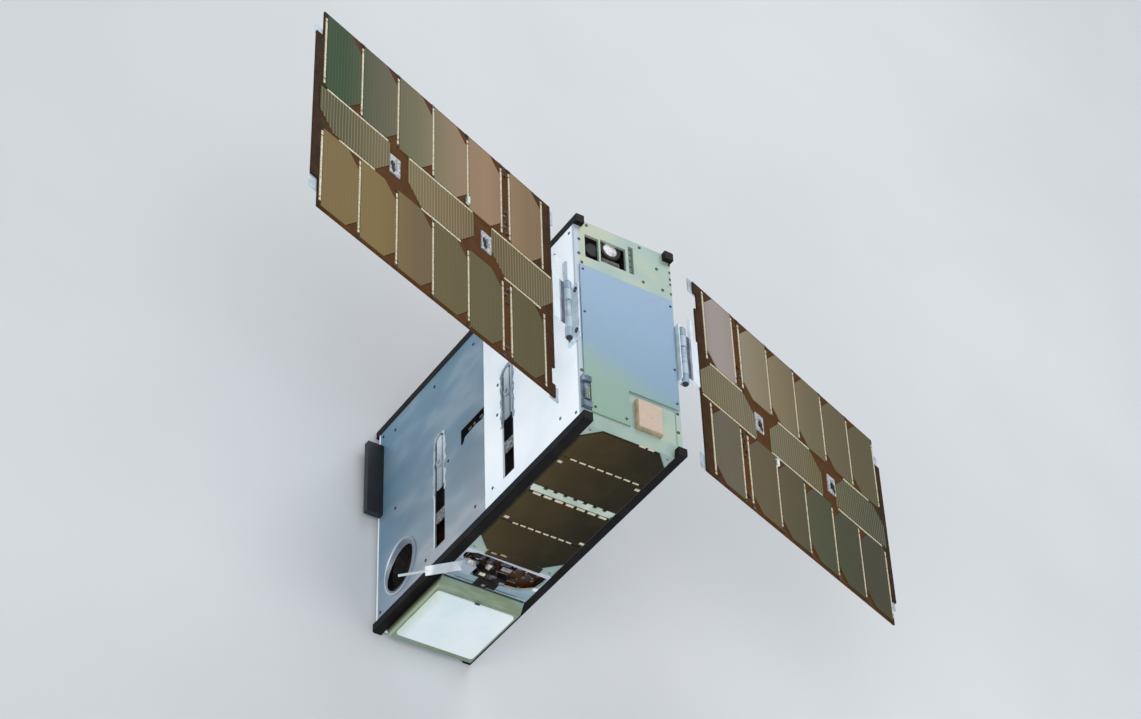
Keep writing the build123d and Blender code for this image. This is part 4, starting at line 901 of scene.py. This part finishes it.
# The hold-down slots: (depth of the middle line, top, rim's finish)
SLOTS = {"front": (114.8, 140.0, slate_edge), "rear": (226.8, 144.0, bright_metal)}
SLOT_HALF, FILL_HALF = 8.5, 8.4
BRIDGE_LOW, BRIDGE_TOP, CHEEK_LOW = 49.0, 61.0, 84.0
BROWN_WIDTH = 4.0

# In each slot, from the top: pale cheeks with a dark gap, painted shade as a brown strip beside a black
# plate, and the grey bridge
cheeks, bridges, shades, brown_shades, edges = [], [], [], [], []
for side, name in SIDES:
    for mark, (depth, top, surface) in SLOTS.items():
        start, end = side_span(side, -2.6, -1.0)
        cheeks.append((start, end, CHEEK_LOW, top - 0.8, depth - 1.6, depth + 6.6))
        cheeks.append((start, end, CHEEK_LOW + 2.0, top - 2.3, depth - 7.6, depth - 3.6))
        start, end = side_span(side, -2.4, -1.4)
        near, far = depth - FILL_HALF, depth + FILL_HALF
        bridges.append((start, end, BRIDGE_LOW, BRIDGE_TOP, near, far))
        shades.append((start, end, BRIDGE_TOP, CHEEK_LOW, near + BROWN_WIDTH, far))
        brown_shades.append((start, end, BRIDGE_TOP, CHEEK_LOW, near, near + BROWN_WIDTH))
        if mark == "rear":
            edges.append((*side_span(side, -0.4, 0.25), 23.5, 92.0, depth + 8.3, depth + 9.3))
boxes("slot_cheeks", cheeks, cheek_metal)
boxes("slot_bridges", bridges, bridge_alloy)
# Painted shade in the slots: black plates and brown strips
boxes("slot_shades", shades, shade_black)
boxes("slot_brown_shades", brown_shades, inner_dark)
boxes("slot_edge_lines", edges, white_metal)

# Front elements of the two star cameras: a coated dome painted silver with a reflection, in a black bezel, a
# dim small one, and the body below
DOME = (39.0, 207.2, [(0.05, 6.9), (5.2, 7.1), (7.3, 7.8), (8.0, 9.2), (8.0, 10.0), (0.05, 10.0)])
DOME_BEZEL = (39.0, 207.2, [(8.1, 7.6), (8.8, 6.9), (10.2, 7.2), (10.4, 10.4), (8.1, 10.4)])
DIM_DOME = (20.6, 198.8, [(0.05, 7.6), (2.6, 7.9), (4.6, 8.7), (5.6, 9.8), (5.6, 10.2), (0.05, 10.2)])
DIM_BEZEL = (20.6, 198.8, [(5.7, 7.6), (6.4, 7.2), (7.2, 7.6), (7.2, 10.4), (5.7, 10.4)])
turned("camera_domes", [DOME], glass_with_painted_reflection)
turned("camera_bezels", [DOME_BEZEL, DIM_BEZEL], optic_black)
turned("dim_dome", [DIM_DOME], body_grey)
boxes("camera_body", [(31.0, 48.5, 187.6, 196.6, 8.6, 11.5)], body_grey)

# Bright bezel on the side port, then painted shade on its cone: a grey ring and a black ring inside that, all
# lying on the port's ring, whose seat slopes inwards from SEAT_RADIUS
PORT_H, PORT_D = 44.0, 294.5
PORT_STEPS = 72
SEAT_RADIUS, SEAT_OUT, SEAT_IN = 23.5, -0.5, 3.4
ACROSS = (0.0, 0.2, 0.4, 0.6, 0.8, 1.0)


def port_ring(name, surface, outer, inner, lift, sunk):
    """A ring on the port between two circles, (up, back, radius) from its middle, lifted off the seat."""
    lines = []
    for k in range(PORT_STEPS):
        a = math.tau * k / PORT_STEPS
        places = [(up + r * math.sin(a), back + r * math.cos(a)) for up, back, r in (outer, inner)]
        line = []
        for t, off in [(t, -lift) for t in ACROSS] + [(1.0, sunk), (0.0, sunk)]:
            h, d = (p + (q - p) * t for p, q in zip(*places))
            seat = min(SEAT_IN, SEAT_OUT + max(0.0, SEAT_RADIUS - math.hypot(h, d)))
            line.append(at(seat + off, PORT_H + h, PORT_D + d))
        lines.append(line)
    new_piece(name, prism_mesh([lines], ring=True), surface)


port_ring("port_bezel", rim_metal, (-2.2, -1.8, 27.0), (-2.2, -1.4, 25.4), 0.5, 1.0)
# Painted shade on the cone: mid grey round the outside, black further in
port_ring("port_cone", port_half_shade, (-2.2, -1.4, 25.5), (-3.0, -0.7, 22.4), 0.35, 0.4)
port_ring("port_cone_shade", shade_black, (-3.0, -0.7, 22.6), (0.0, 0.0, 19.2), 0.25, 0.4)

# Dark ragged springs in the bushings' slots
RAGGED = (
    (-2.4, 3.6), (-1.2, 5), (0, 3.2), (2, 2.4), (1.3, -0.6), (2.7, -3), (1.7, -5.6), (0.5, -7), (-0.4, -5),
    (-2, -4.4), (-1.5, -1.4), (-2.9, 0.6))
for side, name in SIDES:
    solids = [[[on_wing(side, place + side * p, side * (1.4 - q), BOARD_TOP + rise) for rise in (-0.6, 1.35)]
               for p, q in RAGGED] for place in HOLD_DOWN_PLACES]
    new_piece(f"bushing_springs_{name}", prism_mesh(solids), optic_black, f"{name}_wing")

# Wavy spring rims round the upper part of each hold-down slot
RIM_LOW, RIM_STEPS = 77.0, 46
RIM_REACH, RIM_INSET = 1.9, 0.6


def rim_lines(depth, top):
    """The outer and inner line of a slot's rim: up one side, round the top and down the other."""
    straight = top - SLOT_HALF - RIM_LOW
    total = 2 * straight + math.pi * SLOT_HALF
    outer, inner = [], []
    for k in range(RIM_STEPS + 1):
        s = total * k / RIM_STEPS
        if s < straight:
            h, d, up, back = RIM_LOW + s, depth - SLOT_HALF, 0.0, -1.0
        elif s > total - straight:
            h, d, up, back = RIM_LOW + total - s, depth + SLOT_HALF, 0.0, 1.0
        else:
            a = math.pi - (s - straight) / SLOT_HALF
            up, back = math.sin(a), math.cos(a)
            h, d = top - SLOT_HALF + SLOT_HALF * up, depth + SLOT_HALF * back
        reach = RIM_REACH + 0.8 * math.sin(s * 0.42) + 0.5 * math.sin(s * 1.13)
        outer.append((h + reach * up, d + reach * back))
        inner.append((h - RIM_INSET * up, d - RIM_INSET * back))
    return outer, inner


for side, name in SIDES:
    for mark, (depth, top, surface) in SLOTS.items():
        outer, inner = rim_lines(depth, top)
        start, end = side_span(side, -0.5, 0.4)
        corners = ((start, outer), (end, outer), (end, inner), (start, inner))
        solid = [[at(x, h, d) for h, d in line] for x, line in corners]
        new_piece(f"slot_rim_{name}_{mark}", prism_mesh([solid]), surface)

# Studio floor
floor = bpy.data.meshes.new("floor")
floor.from_pydata([(-4, -4, 0), (4, -4, 0), (4, 4, 0), (-4, 4, 0)], [], [(0, 1, 2, 3)])
floor.materials.append(floor_grey.made)
floor_piece = new_object("floor", floor)

# The low lamp stands near the floor, so it lights the object alone
unlit = bpy.data.collections.new("not_lit_by_the_low_lamp")
unlit.objects.link(floor_piece)
unlit.collection_objects[0].light_linking.link_state = "EXCLUDE"
lamps["low"].light_linking.receiver_collection = unlit
